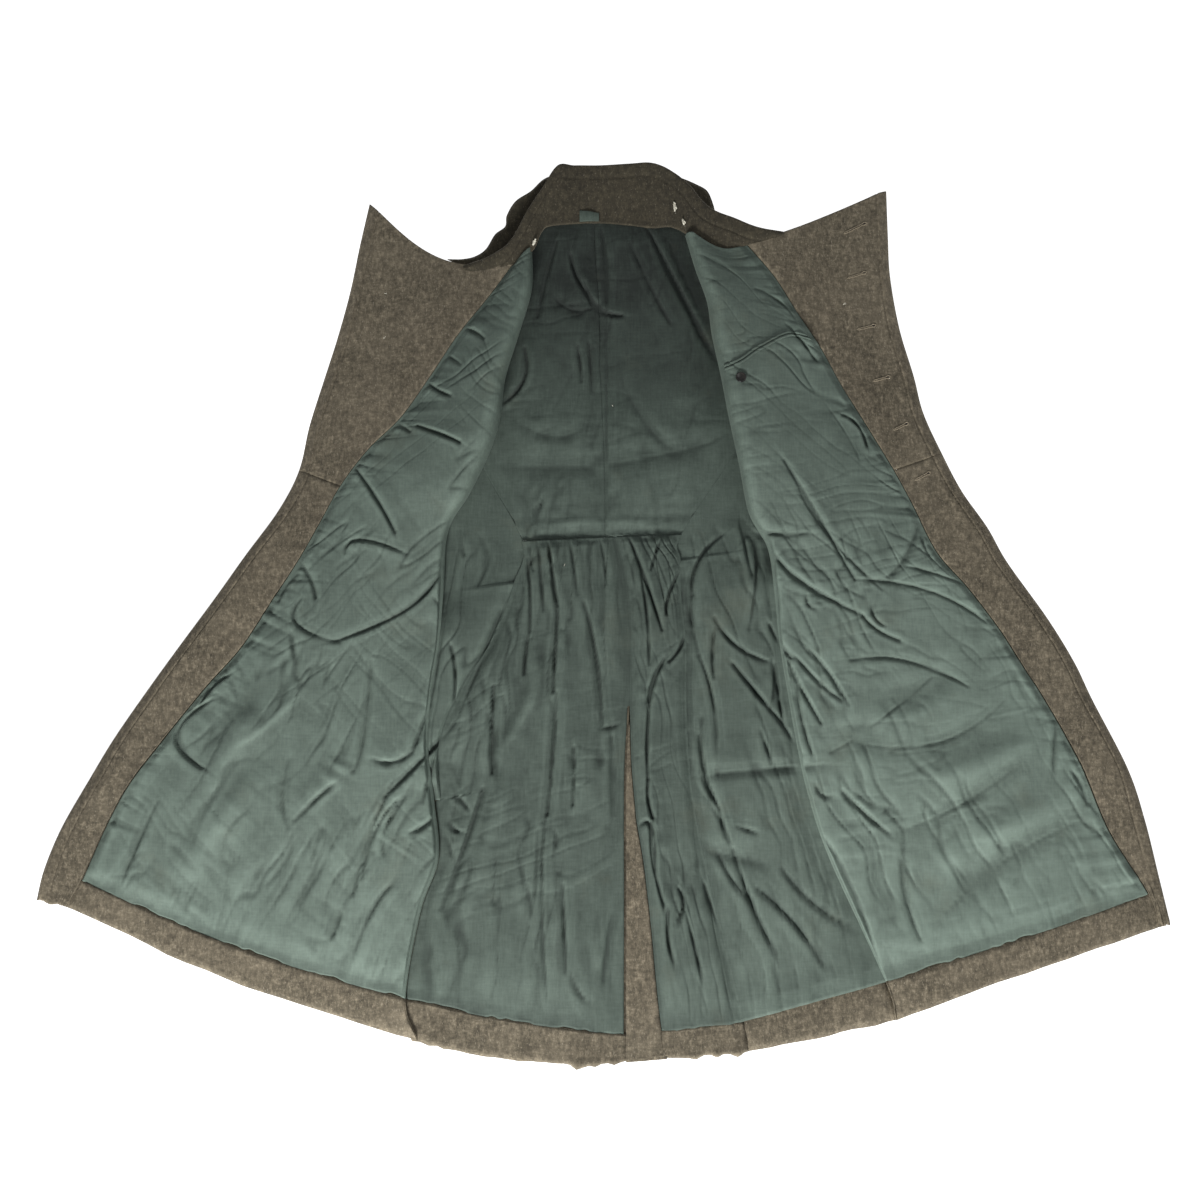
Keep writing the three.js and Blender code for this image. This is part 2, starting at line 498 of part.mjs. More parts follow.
function centre(row) {
  if (row < waistRow) {
    return { x: between(centreLine, "x", row), y: between(centreLine, "y", row) };
  }
  const skirtRow = row - waistRow;
  return { x: between(skirtCentreLine, "x", skirtRow), y: between(skirtCentreLine, "y", skirtRow) };
}

function ventReach(row) {
  const pastTop = Math.min(Math.max(row - ventTopRow, 0), ventWidth.length - 1);
  const start = Math.min(Math.floor(pastTop), ventWidth.length - 2);
  return mix(ventWidth[start], ventWidth[start + 1], pastTop - start);
}

// Height of the front's lining where the side's lining meets it, over the ground.
function jointHeight(half, row) {
  const s = frontSection(half, row);
  const meeting = s.rollZ - s.radius * (1 - Math.cos(s.turn)) + layerGap;
  const low = woolWall + layerGap + 0.6;
  const slitStart = half.side === "l" ? smooth((row - slitRow) / slitRows) : 0;
  return mix(low, meeting, smooth((row - 8.1) / 0.9) * (1 - slitStart));
}

function planWall(a, b, u, low, high) {
  const x = mix(a.x, b.x, u);
  const y = mix(a.y, b.y, u);
  return { low: [x, y, low], high: [x, y, high] };
}

function addBodice(half) {
  const rows = steps(0, waistRow, 14).map((row) => (row === waistRow ? row - 0.01 : row));
  const from = (row) => ({ x: centre(row).x + (half.sign * seamGap) / 2, y: centre(row).y });
  const to = (row) => {
    const edge = backEdge(half, row);
    return { x: edge.x - (half.sign * seamGap) / 2, y: edge.y };
  };
  const shellPlace = (row, u) => planWall(from(row), to(row), u, 0, woolWall);
  const liningPlace = (row, u) => {
    const flat = planWall(from(row), to(row), u, 0, 0).low;
    const belowNeck = smooth(row * 1.5);
    const full = smooth(u * 4) * smooth((0.85 - u) * 3) * smooth((waistRow - row) * 2);
    const fullness = belowNeck * liningFullness * full;
    const folded = belowNeck * foldHeight(flat[0], flat[1]) * smooth((0.95 - u) * 6);
    const low = woolWall + layerGap + Math.max(0, 0.8 + fullness + folded);
    return { low: [flat[0], flat[1], low], high: [flat[0], flat[1], low + liningWall] };
  };
  add(`shell_back_bodice_${half.side}`, clothWall(rows, [0, 0.5, 1], shellPlace), wool);
  add(`lining_back_bodice_${half.side}`, clothWall(rows, steps(0, 1, 7), liningPlace), lining);
}

function addSkirt(half) {
  const rows = steps(waistRow, hemRow, 18, [liningHemRow + hemStep]);
  const drop = (row) => (row === waistRow ? 1.6 : 0);
  const from = (row) => ({ x: centre(row).x + (half.sign * seamGap) / 2, y: centre(row).y - drop(row) });
  const to = (row) => {
    const edge = backEdge(half, row);
    const gap = half.side === "l" && row > leftSideEndRow ? 0 : (half.sign * seamGap) / 2;
    return { x: edge.x - gap, y: edge.y - drop(row) };
  };
  const width = (row) => Math.abs(to(row).x - from(row).x);
  const ventShare = (row) => (half.side === "r" ? ventReach(row) / width(row) : 0);
  const hemDrop = (row, share) =>
    half.side === "l" ? backHemSag * Math.sin(Math.PI * share) * smooth((row - backHemSagRow) / 2) : 0;
  const dropped = (point, drop) => [point[0], point[1] - drop, point[2]];
  const shellPlace = (row, u) => {
    const share = u < 0 ? 0 : mix(ventShare(row), 1, u);
    const turnUp = row > liningHemRow && u > 0 ? hemTurnUp : 0;
    const wall = planWall(from(row), to(row), share, 0, woolWall + turnUp);
    const sag = hemDrop(row, share);
    return { low: dropped(wall.low, sag), high: dropped(wall.high, sag) };
  };
  const shellColumns = half.side === "r" ? [-1, 0, 0.03, 0.35, 0.7, 1] : [0, 0.03, 0.3, 0.6, 1];
  const liningStart = (row) => (row > ventTopRow ? (half.side === "r" ? ventReach(row) : 4) / width(row) : 0);
  const liningPlace = (row, u) => {
    const across = mix(liningStart(row), 1, u);
    const flat = dropped(planWall(from(row), to(row), across, 0, 0).low, hemDrop(row, across));
    const slit = half.side === "l" ? smooth((row - slitRow) / slitRows) : 0;
    const outer = mix(3, 0.4, slit);
    const ends = mix(0.5, outer, u);
    const fullness = liningFullness * smooth(u * 5) * smooth((1 - u) * 5);
    const fade = smooth((row - waistRow) * 3 + 0.3) * smooth((liningHemRow - row) * 2 + 0.15);
    const folded = foldHeight(flat[0], flat[1]) * smooth(u * 8) * smooth((1 - u) * 8);
    const low = woolWall + layerGap + Math.max(0, ends + (fullness + folded) * fade);
    return { low: [flat[0], flat[1], low], high: [flat[0], flat[1], low + liningWall] };
  };
  const liningRows = rows.filter((row) => row <= liningHemRow);
  const columns = steps(0, 1, half.side === "l" ? 15 : 9);
  add(`shell_back_skirt_${half.side}`, clothWall(rows, shellColumns, shellPlace), wool);
  add(`lining_back_skirt_${half.side}`, clothWall(liningRows, columns, liningPlace), lining);
  if (half.side === "r") {
    const facingPlace = (row, u) => {
      const share = (u * (ventReach(row) - seamGap)) / width(row);
      const bottom = woolWall + layerGap;
      return planWall(from(row), to(row), share, bottom, bottom + woolWall);
    };
    add("vent_facing_r", clothWall(rows.filter((row) => row > ventTopRow), [0, 0.5, 1], facingPlace), wool);
  }
}

function addSide(half) {
  const rows = steps(armholeFootRow, half.sideEndRow, 2 * (half.sideEndRow - armholeFootRow))
    .concat(half.side === "r" ? [liningHemRow + hemStep] : [])
    .sort((a, b) => a - b);
  const from = (row) => {
    const edge = backEdge(half, row);
    return { x: edge.x + (half.sign * seamGap) / 2, y: edge.y };
  };
  const to = (row) => sideEdge(half, row);
  const shellPlace = (row, u) => {
    const turnUp = row > liningHemRow ? hemTurnUp : 0;
    return planWall(from(row), to(row), u, 0, woolWall + turnUp);
  };
  const liningPlace = (row, u) => {
    const flat = planWall(from(row), to(row), u, 0, 0).low;
    const seamZ = woolWall + layerGap + (row < 8 ? 0.8 : 3);
    const ends = mix(seamZ, jointHeight(half, row), smooth(u));
    const fullness = 0.7 * liningFullness * smooth(u * 4) * smooth((1 - u) * 4) * smooth((row - 7) / 1.5);
    const folded = foldHeight(flat[0], flat[1]) * smooth(u * 6) * smooth((1 - u) * 6) * smooth((row - 7) * 2);
    const fade = smooth((liningHemRow - row) * 2 + 0.15);
    const low = Math.max(woolWall + layerGap, ends + (fullness + folded) * fade);
    return { low: [flat[0], flat[1], low], high: [flat[0], flat[1], low + liningWall] };
  };
  const liningRows = rows.filter((row) => row <= liningHemRow);
  const columns = steps(0, 1, half.side === "l" ? 5 : 9);
  add(`shell_side_${half.side}`, clothWall(rows, [0, 0.5, 1], shellPlace), wool);
  add(`lining_side_${half.side}`, clothWall(liningRows, columns, liningPlace), lining);
}

// Each sleeve lies flattened under its front: a flat under panel and a top panel that follows it.
function addSleeve(half) {
  const reachAt = (column, row) => {
    const next = Math.max(1, sleeveReach.findIndex((entry) => entry.row >= row));
    const [a, b] = [sleeveReach[next - 1], sleeveReach[next]];
    return mix(a[column], b[column], (row - a.row) / (b.row - a.row));
  };
  const acrossAt = (row, u) => {
    const s = frontSection(half, row);
    const facing = s.edge.distanceTo(s.seam);
    const flat = s.seam.distanceTo(s.rollStart);
    const total = facing + s.seam.distanceTo(s.inner);
    const run = mix(reachAt("fromEdge", row), total - reachAt("fromInner", row), u);
    return run < facing ? run / facing : 1 + Math.min((run - facing) / flat, 1);
  };
  const lastRow = sleeveReach[sleeveReach.length - 1].row;
  const rows = steps(sleeveReach[0].row, lastRow, 12);
  const topPlace = (row, u) => {
    const top = -woolWall - sleeveGap;
    return wallOn(half, row, acrossAt(row, u), top - woolWall, top);
  };
  const underPlace = (row, u) => {
    const [x, y] = frontPoint(half, row, acrossAt(row, u), 0);
    return { low: [x, y, 0], high: [x, y, woolWall] };
  };
  add(`sleeve_top_${half.side}`, clothWall(rows, steps(0, 1, 6), topPlace), wool);
  add(`sleeve_under_${half.side}`, clothWall(rows, steps(0, 1, 4), underPlace), wool);
}

function collarPoint(row, across, lift) {
  const value = (column) => between(collarStand, column, row);
  const x = mix(value("seamX"), value("foldX"), across);
  const y = mix(value("seamY"), value("foldY"), across);
  const round = 0.8 * Math.sin(Math.PI * across);
  return [x, y, value("height") + round + lift];
}

function addCollar() {
  const standRows = steps(0, collarStand.length - 1, 2 * (collarStand.length - 1));
  const standPlace = (row, u) => ({ low: collarPoint(row, u, -collarWall), high: collarPoint(row, u, 0) });
  add("collar_stand", clothWall(standRows, [0, 0.33, 0.67, 1], standPlace), darkWool);
  const fallRows = steps(0, collarFall.length - 1, 2 * (collarFall.length - 1));
  const fallPlace = (row, u) => {
    const x = mix(between(collarFall, "innerX", row), between(collarFall, "outerX", row), u);
    const y = mix(between(collarFall, "innerY", row), between(collarFall, "outerY", row), u);
    return { low: [x, y, 0], high: [x, y, collarWall + 0.8] };
  };
  add("collar_fall", clothWall(fallRows, [0, 0.5, 1], fallPlace), darkWool);
  const loopRows = steps(hangerRows[0], hangerRows[1], 6);
  const loopPlace = (row, u) => ({
    low: collarPoint(row, mix(0.02, 0.22, u), layerGap),
    high: collarPoint(row, mix(0.02, 0.22, u), layerGap + 1.2 + 1.2 * Math.sin(Math.PI * u)),
  });
  add("hanger_loop", clothWall(loopRows, steps(0, 1, 4), loopPlace), lining);
}

// A round button, its rim proud of a shallow dish, with its axis along +Z.
function buttonGeometry(radius, height) {
  const profile = [
    [0, 0], [radius * 0.8, 0], [radius, height * 0.5],
    [radius * 0.86, height], [radius * 0.68, height * 0.7], [0, height * 0.6],
  ].map(([x, y]) => new THREE.Vector2(x, y));
  return new THREE.LatheGeometry(profile, 12).rotateX(Math.PI / 2);
}

// The fastening buttons stand on the outer face of the left-hand front, which lies downwards.
function addButtons() {
  const half = halves[0];
  buttonSeats.forEach(({ row, gap }, k) => {
    const s = frontSection(half, row);
    const across = buttonInset / s.edge.distanceTo(s.seam);
    const [x, y, z] = frontPoint(half, row, across, -woolWall - gap);
    const button = add(`button_${k + 1}`, buttonGeometry(buttonRadius, buttonHeight), horn);
    button.rotation.x = Math.PI;
    button.position.set(x, y, z);
  });
}

// Inner pocket of the right-hand front: two jets along its mouth, and a button below it.
function addPocket() {
  const half = halves[1];
  const jet = (name, side) => {
    const place = (t, u) => {
      const at = t * (pocketMouth.length - 1);
      const row = between(pocketMouth, "row", at) + side * mix(0.01, pocketJet.lip, u);
      const across = between(pocketMouth, "across", at);
      const base = frontLiningLift(half, row, across) + liningWall + layerGap + 0.3;
      return wallOn(half, row, across, base, base + pocketJet.depth);
    };
    add(name, clothWall(steps(0, 1, 14), [0, 0.5, 1], place), lining);
  };
  jet("pocket_jet_upper", -1);
  jet("pocket_jet_lower", 1);
  const lift = frontLiningLift(half, pocketButton.row, pocketButton.across) + liningWall + layerGap + 0.1;
  const [x, y, z] = frontPoint(half, pocketButton.row, pocketButton.across, lift);
  const button = add("pocket_button", buttonGeometry(pocketButtonRadius, 3.2), horn);
  button.position.set(x, y, z);
}

halves.forEach((half) => {
  addFront(half);
  addBodice(half);
  addSkirt(half);
  addSide(half);
  addSleeve(half);
});
addCollar();
addButtons();
addPocket();

export default coat;
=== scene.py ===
# A wool greatcoat laid open on its back, lining up, in metres, +Z up, collar towards +Y.
import math

import bpy
import numpy as np
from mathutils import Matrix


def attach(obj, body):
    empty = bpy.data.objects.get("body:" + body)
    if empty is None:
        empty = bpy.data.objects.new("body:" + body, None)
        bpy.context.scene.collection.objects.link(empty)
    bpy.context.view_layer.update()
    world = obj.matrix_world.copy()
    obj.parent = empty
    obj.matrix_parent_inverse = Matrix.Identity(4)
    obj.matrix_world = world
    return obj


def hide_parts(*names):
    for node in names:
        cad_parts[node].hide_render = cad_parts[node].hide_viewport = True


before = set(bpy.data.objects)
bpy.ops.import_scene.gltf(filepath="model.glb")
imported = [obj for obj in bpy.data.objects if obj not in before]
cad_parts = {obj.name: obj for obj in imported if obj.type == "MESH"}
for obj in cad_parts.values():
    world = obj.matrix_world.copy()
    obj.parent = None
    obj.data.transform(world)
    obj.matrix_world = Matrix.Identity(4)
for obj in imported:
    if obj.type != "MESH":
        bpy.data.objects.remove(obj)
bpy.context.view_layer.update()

mm = 0.001
woolWall, liningWall, layerGap, hemTurnUp = 2.5, 1.0, 0.3, 2.4
edgeDrop, plateauHeight, rollFoot, seamGap, seamLap = 18.0, 9.8, 7.3, 0.6, 0.6
planCentre = np.array([5.0, 12.0, 0.0])
facingWaistRow, waistRow, liningHemRow, hemRow, leftSideEndRow = 6.0, 7.0, 15.0, 16.0, 12.0
sideTopRow, sideFootRow = 6.0, 8.0
turnUpRows = (liningHemRow - 0.01, liningHemRow + 0.01)
# Millimetres along the pieces, from their first row to their last.
pieceLength = {"frontLining": 1010, "bodice": 455, "skirtShell": 650, "skirtLining": 600, "ventFacing": 310,
               "side": 400, "sleeve": 720, "collarStand": 470, "collarFall": 520}
# Millimetres from a row to the next, near the places that measure by it.
rowPitch = {"front": 68.0, "waist": 66.0, "frontHem": 50.0, "liningHem": 60.0, "back": 65.0, "backHem": 45.0}
rng = np.random.default_rng(7)


# Camera, at the photograph's angle: 10 degrees off straight down, from the hem's side.
def addCamera():
    distance, elevation, millimetresPerPixel, imageSide = 1.9, math.radians(80), 1.32, 1200
    camera = bpy.data.objects.new("camera", bpy.data.cameras.new("camera"))
    bpy.context.collection.objects.link(camera)
    target = -planCentre * mm
    camera.location = (target[0], target[1] - distance * math.cos(elevation), distance * math.sin(elevation))
    camera.rotation_euler = (math.pi / 2 - elevation, 0, 0)
    camera.data.sensor_width = 36
    camera.data.lens = 36 * distance / (millimetresPerPixel * mm * imageSide)
    bpy.context.scene.camera = camera


addCamera()

# Each front, a row for each section from the neck to the hem, in millimetres, as in the solids: x and y of
# its edge, of the facing's seam and of its inner end, then the values that frontHeights names.
frontHeights = ("seamZ", "rollZ", "turn", "facingSag", "liningSag")
leftFront = [
    (-319, 556, -114, 465, -93, 485, 22, 24, 180, -40, 0),
    (-331, 492, -151, 411, -93, 424, 24, 34, 180, -8, 0),
    (-342, 427, -191, 357, -111, 355, 26, 41, 180, 0, 0),
    (-357, 362, -227, 299, -127, 297, 26, 44, 180, 0, 0),
    (-374, 300, -265, 243, -133, 243, 24, 44, 180, 0, 0),
    (-391, 237, -308, 199, -147, 195, 22, 42, 180, 0, 0),
    (-403, 175, -344, 150, -172, 141, 19, 36, 180, 0, 0),
    (-428, 121, -370, 101, -201, 89, 16, 24, 150, 0, 0), (-470, 59, -397, 51, -206, 8, 14, 14, 60, 0, 0),
    (-508, 1, -432, -6, -210, -55, 12, 11, 30, 0, 0), (-551, -62, -469, -66, -219, -121, 11, 11, 30, 0, 0),
    (-589, -119, -514, -119, -222, -192, 10, 11, 40, 0, 0),
    (-629, -182, -568, -190, -213, -262, 10.2, 12, 60, 0, 0),
    (-658, -235, -607, -245, -206, -335, 10.2, 13, 80, 0, 0),
    (-690, -297, -635, -300, -227, -400, 6, 12, 80, 0, -4),
    (-709, -350, -660, -363, -244, -509, 5, 9, 60, 0, -12),
    (-716, -388, -677, -396, -227, -560, 4, 5, 30, 0, -13),
]
rightFront = [
    (397, 575, 200, 488, 117, 504, 21, 26, 180, -4, -14), (397, 508, 236, 442, 130, 454, 22, 34, 180, 0, -3),
    (398, 449, 265, 392, 145, 406, 23, 40, 180, 0, 0), (408, 375, 296, 341, 151, 358, 23, 42, 180, 0, 0),
    (425, 307, 323, 288, 162, 302, 22, 42, 180, 0, 0), (436, 255, 355, 233, 172, 244, 20, 41, 180, 0, 0),
    (459, 198, 390, 172, 185, 178, 18, 38, 180, 0, 0), (483, 147, 413, 127, 197, 114, 16, 30, 160, 0, 0),
    (515, 97, 444, 61, 221, 69, 14, 19, 80, 0, 0), (539, 50, 483, 14, 229, 8, 12, 13, 30, 0, 0),
    (588, -25, 523, -42, 234, -55, 11, 11, 30, 0, 0), (620, -83, 550, -88, 243, -121, 10, 11, 30, 0, 0),
    (641, -133, 579, -137, 254, -192, 10.2, 11, 30, 0, 0),
    (681, -221, 619, -217, 267, -256, 10.2, 10, 30, 0, 0),
    (699, -287, 652, -302, 293, -338, 6, 9, 30, 0, -2), (713, -363, 697, -380, 359, -488, 5, 7, 30, 0, -3),
    (723, -418, 709, -420, 370, -535, 4, 5, 30, 0, 0),
]

# The back's edges and its centre, from the neck down, and the tops of the side panels.
leftBack = [(-76, 530), (-106, 478), (-120, 425), (-132, 375), (-147, 320), (-155, 262), (-160, 190),
            (-103, 79), (-113, 22), (-140, -52), (-180, -118), (-208, -190), (-206, -262)]
rightBack = [(112, 527), (143, 474), (161, 428), (169, 373), (180, 316), (190, 258), (184, 206), (108, 88),
             (106, 52), (107, -1), (113, -60), (112, -125), (114, -198), (121, -270), (138, -360),
             (178, -537), (185, -574)]
centreLine = [(-8, 536), (-6, 480), (-3, 430), (-1, 375), (0, 320), (3, 265), (6, 190), (7, 83)]
skirtCentreLine = [(20, 84), (29, 45), (37, -5), (39, -70), (39, -140), (35, -215), (34, -290), (34, -380),
                   (33, -553), (33, -586)]
sideTops = {"l": [(-178, 200), (-209, 95)], "r": [(203, 216), (218, 118)]}
ventTopRow = 11
ventWidth = [0, 6, 13, 26, 45, 52]
halves = [
    {"side": "l", "sign": -1, "front": leftFront, "back": leftBack, "sideEnd": leftSideEndRow},
    {"side": "r", "sign": 1, "front": rightFront, "back": rightBack, "sideEnd": hemRow},
]

# Folds, creases and pleats: x and y of three places on a curve, then its rise, its width and its lap.
# A trough's rise is negative; lap is the side on which the cloth stands higher beside it.
skirtFolds = [
    (-68, 78, -62, 30, -56, -8, -6, 3, 1), (-96, 55, -92, 10, -92, -43, -5, 3, 1),
    (-107, 76, -113, 36, -123, -2, -6, 5, 1), (-168, -97, -186, -154, -209, -196, 3, 8, 0),
    (-190, 114, -190, 20, -194, -63, -4, 3, 1), (-199, 100, -208, 50, -215, -2, -5, 4, -1),
    (-262, -53, -210, -48, -149, -63, -2.5, 4, 0), (-84, -73, -91, -133, -130, -203, 4, 8, 0),
    (-151, -247, -175, -323, -202, -399, -4.5, 5, -1), (-109, -185, -138, -300, -165, -395, 4, 14, 0),
    (-21, -5, -4, -81, 3, -166, -3.5, 4, 1), (-222, -437, -219, -480, -213, -525, -5, 8, 0),
    (62, -235, 62, -262, 68, -285, -5, 3, 1), (107, 84, 112, 30, 111, -26, -3.5, 3, -1),
    (109, -403, 120, -449, 129, -492, -3, 5, 0), (-58, -300, -56, -312, -58, -330, -2, 4, 0),
    (-174, 8, -170, -25, -164, -52, -2, 4, 0), (-92, 78, -92, 55, -88, 38, -2.5, 3, 0),
    (-40, 80, -34, 40, -30, 5, -2.5, 4, 1), (0, 82, 6, 50, 8, 20, -2.5, 4, 1),
    (-82, 78, -78, 30, -74, -15, -2.5, 4, 0),
]
sideFolds = [
    (153, -273, 158, -295, 166, -315, -4, 3, 1), (170, -323, 193, -394, 222, -454, -4, 5, 1),
    (131, -364, 157, -435, 174, -504, 4, 9, 0), (198, -374, 243, -415, 280, -467, -3.5, 5, -1),
    (231, -349, 273, -395, 317, -421, -3, 5, 0), (152, -333, 172, -369, 194, -389, -3, 4, 0),
    (175, -296, 188, -300, 200, -304, -2, 4, 0), (78, -320, 130, -326, 210, -344, -3.5, 9, 0),
    (-165, 90, -150, 60, -160, 20, -2.5, 5, 0), (-170, 150, -185, 110, -180, 60, -3, 4, 1),
]
frontFolds = [
    (-188, 368, -171, 361, -155, 348, -4, 3, 1), (-235, 295, -219, 280, -198, 268, -4, 3, 1),
    (-242, 229, -208, 214, -184, 202, -5, 3, 1), (-276, 236, -264, 230, -252, 222, -4, 3, 1),
    (-328, 178, -296, 134, -269, 86, -5, 4, 1), (-335, 59, -315, 76, -254, 57, -3, 4, -1),
    (-207, 43, -247, -12, -346, -58, -4, 6, 1), (-398, 51, -380, 26, -372, 0, -4, 4, 1),
    (-405, 30, -414, 14, -420, -4, -3, 4, 0), (-482, -103, -501, -117, -518, -140, -5, 6, 1),
    (-502, -134, -546, -178, -510, -222, -5, 6, -1), (-386, -121, -453, -172, -496, -256, 5, 20, 0),
    (-442, -245, -484, -290, -532, -374, 5, 22, 0), (-566, -263, -590, -319, -612, -384, -3, 7, 1),
    (-560, -160, -580, -200, -600, -235, -3, 6, 0), (-620, -280, -635, -300, -650, -315, -2.5, 5, 0),
    (-402, -47, -400, -65, -396, -85, -2.5, 5, 0), (-330, -210, -345, -235, -372, -262, 3, 16, 0),
    (-214, 330, -200, 324, -186, 312, -3, 3, 1), (322, 245, 343, 230, 354, 203, -4, 3, -1),
    (242, 180, 286, 107, 334, 24, -4, 6, 1), (334, 24, 428, 10, 504, -32, -3, 7, 1),
    (265, 134, 307, 73, 369, 11, -3, 6, -1), (325, -82, 398, -83, 476, -116, -3.5, 7, 0),
    (524, -133, 440, -188, 341, -191, -4, 16, 0), (530, -224, 455, -272, 384, -301, -4.5, 16, 0),
    (621, -287, 523, -335, 438, -404, -4.5, 18, 0), (570, -178, 497, -213, 412, -239, 4, 16, 0),
    (606, -226, 617, -244, 624, -266, -4, 4, 0), (280, -304, 318, -369, 351, -470, -3.5, 6, 1),
    (383, -339, 388, -388, 404, -436, -3, 7, 0), (401, 42, 450, 28, 490, 12, -3, 5, 0),
    (590, -165, 585, -195, 582, -225, -2.5, 5, 0), (500, -445, 560, -420, 620, -395, -2, 5, 0),
    (600, -260, 500, -305, 420, -350, 4, 18, 0), (470, -120, 400, -150, 330, -150, 3.5, 16, 0),
    (250, 370, 275, 340, 290, 318, -2.5, 4, 0), (210, 420, 240, 405, 262, 380, -2.5, 6, 0),
    (300, 260, 330, 215, 345, 180, -2, 9, 0),
]
backFolds = [
    (62, 527, 105, 437, 163, 321, -6, 6, 1), (95, 500, 128, 430, 172, 345, -5, 16, 0),
    (-20, 440, -4, 405, 30, 392, -4, 4, 1), (-40, 480, -28, 440, -2, 405, -3.5, 4, 1),
    (-62, 420, -40, 400, -8, 404, -3, 12, 0), (1, 524, 8, 466, 9, 401, -4, 3, 1),
    (-89, 99, -13, 106, 58, 104, 3, 6, 0), (-75, 136, -89, 108, -102, 82, -3, 3, 0),
    (-160, 169, -133, 136, -106, 99, -3.5, 4, 1), (110, 99, 140, 145, 189, 189, -3.5, 4, -1),
    (-141, 184, 0, 181, 153, 214, -3.5, 16, 0), (-107, 412, -119, 389, -125, 361, -3, 4, 0),
    (-102, 346, -103, 301, -131, 269, -3.5, 4, 1), (-30, 348, -27, 325, -25, 298, -2.5, 3, 0),
    (-15, 354, -13, 320, -11, 285, -2.5, 3, 0), (9, 400, 9, 250, 8, 100, -1.6, 2.5, 1),
    (40, 500, 70, 430, 95, 380, -2, 6, 0), (-60, 500, -75, 440, -85, 390, -2, 7, 0),
    (-96, 84, 0, 90, 100, 92, -1.8, 3, 0), (30, 300, 60, 240, 100, 200, -1.8, 9, 0),
    (-110, 240, -60, 220, -20, 235, -1.8, 9, 0),
]

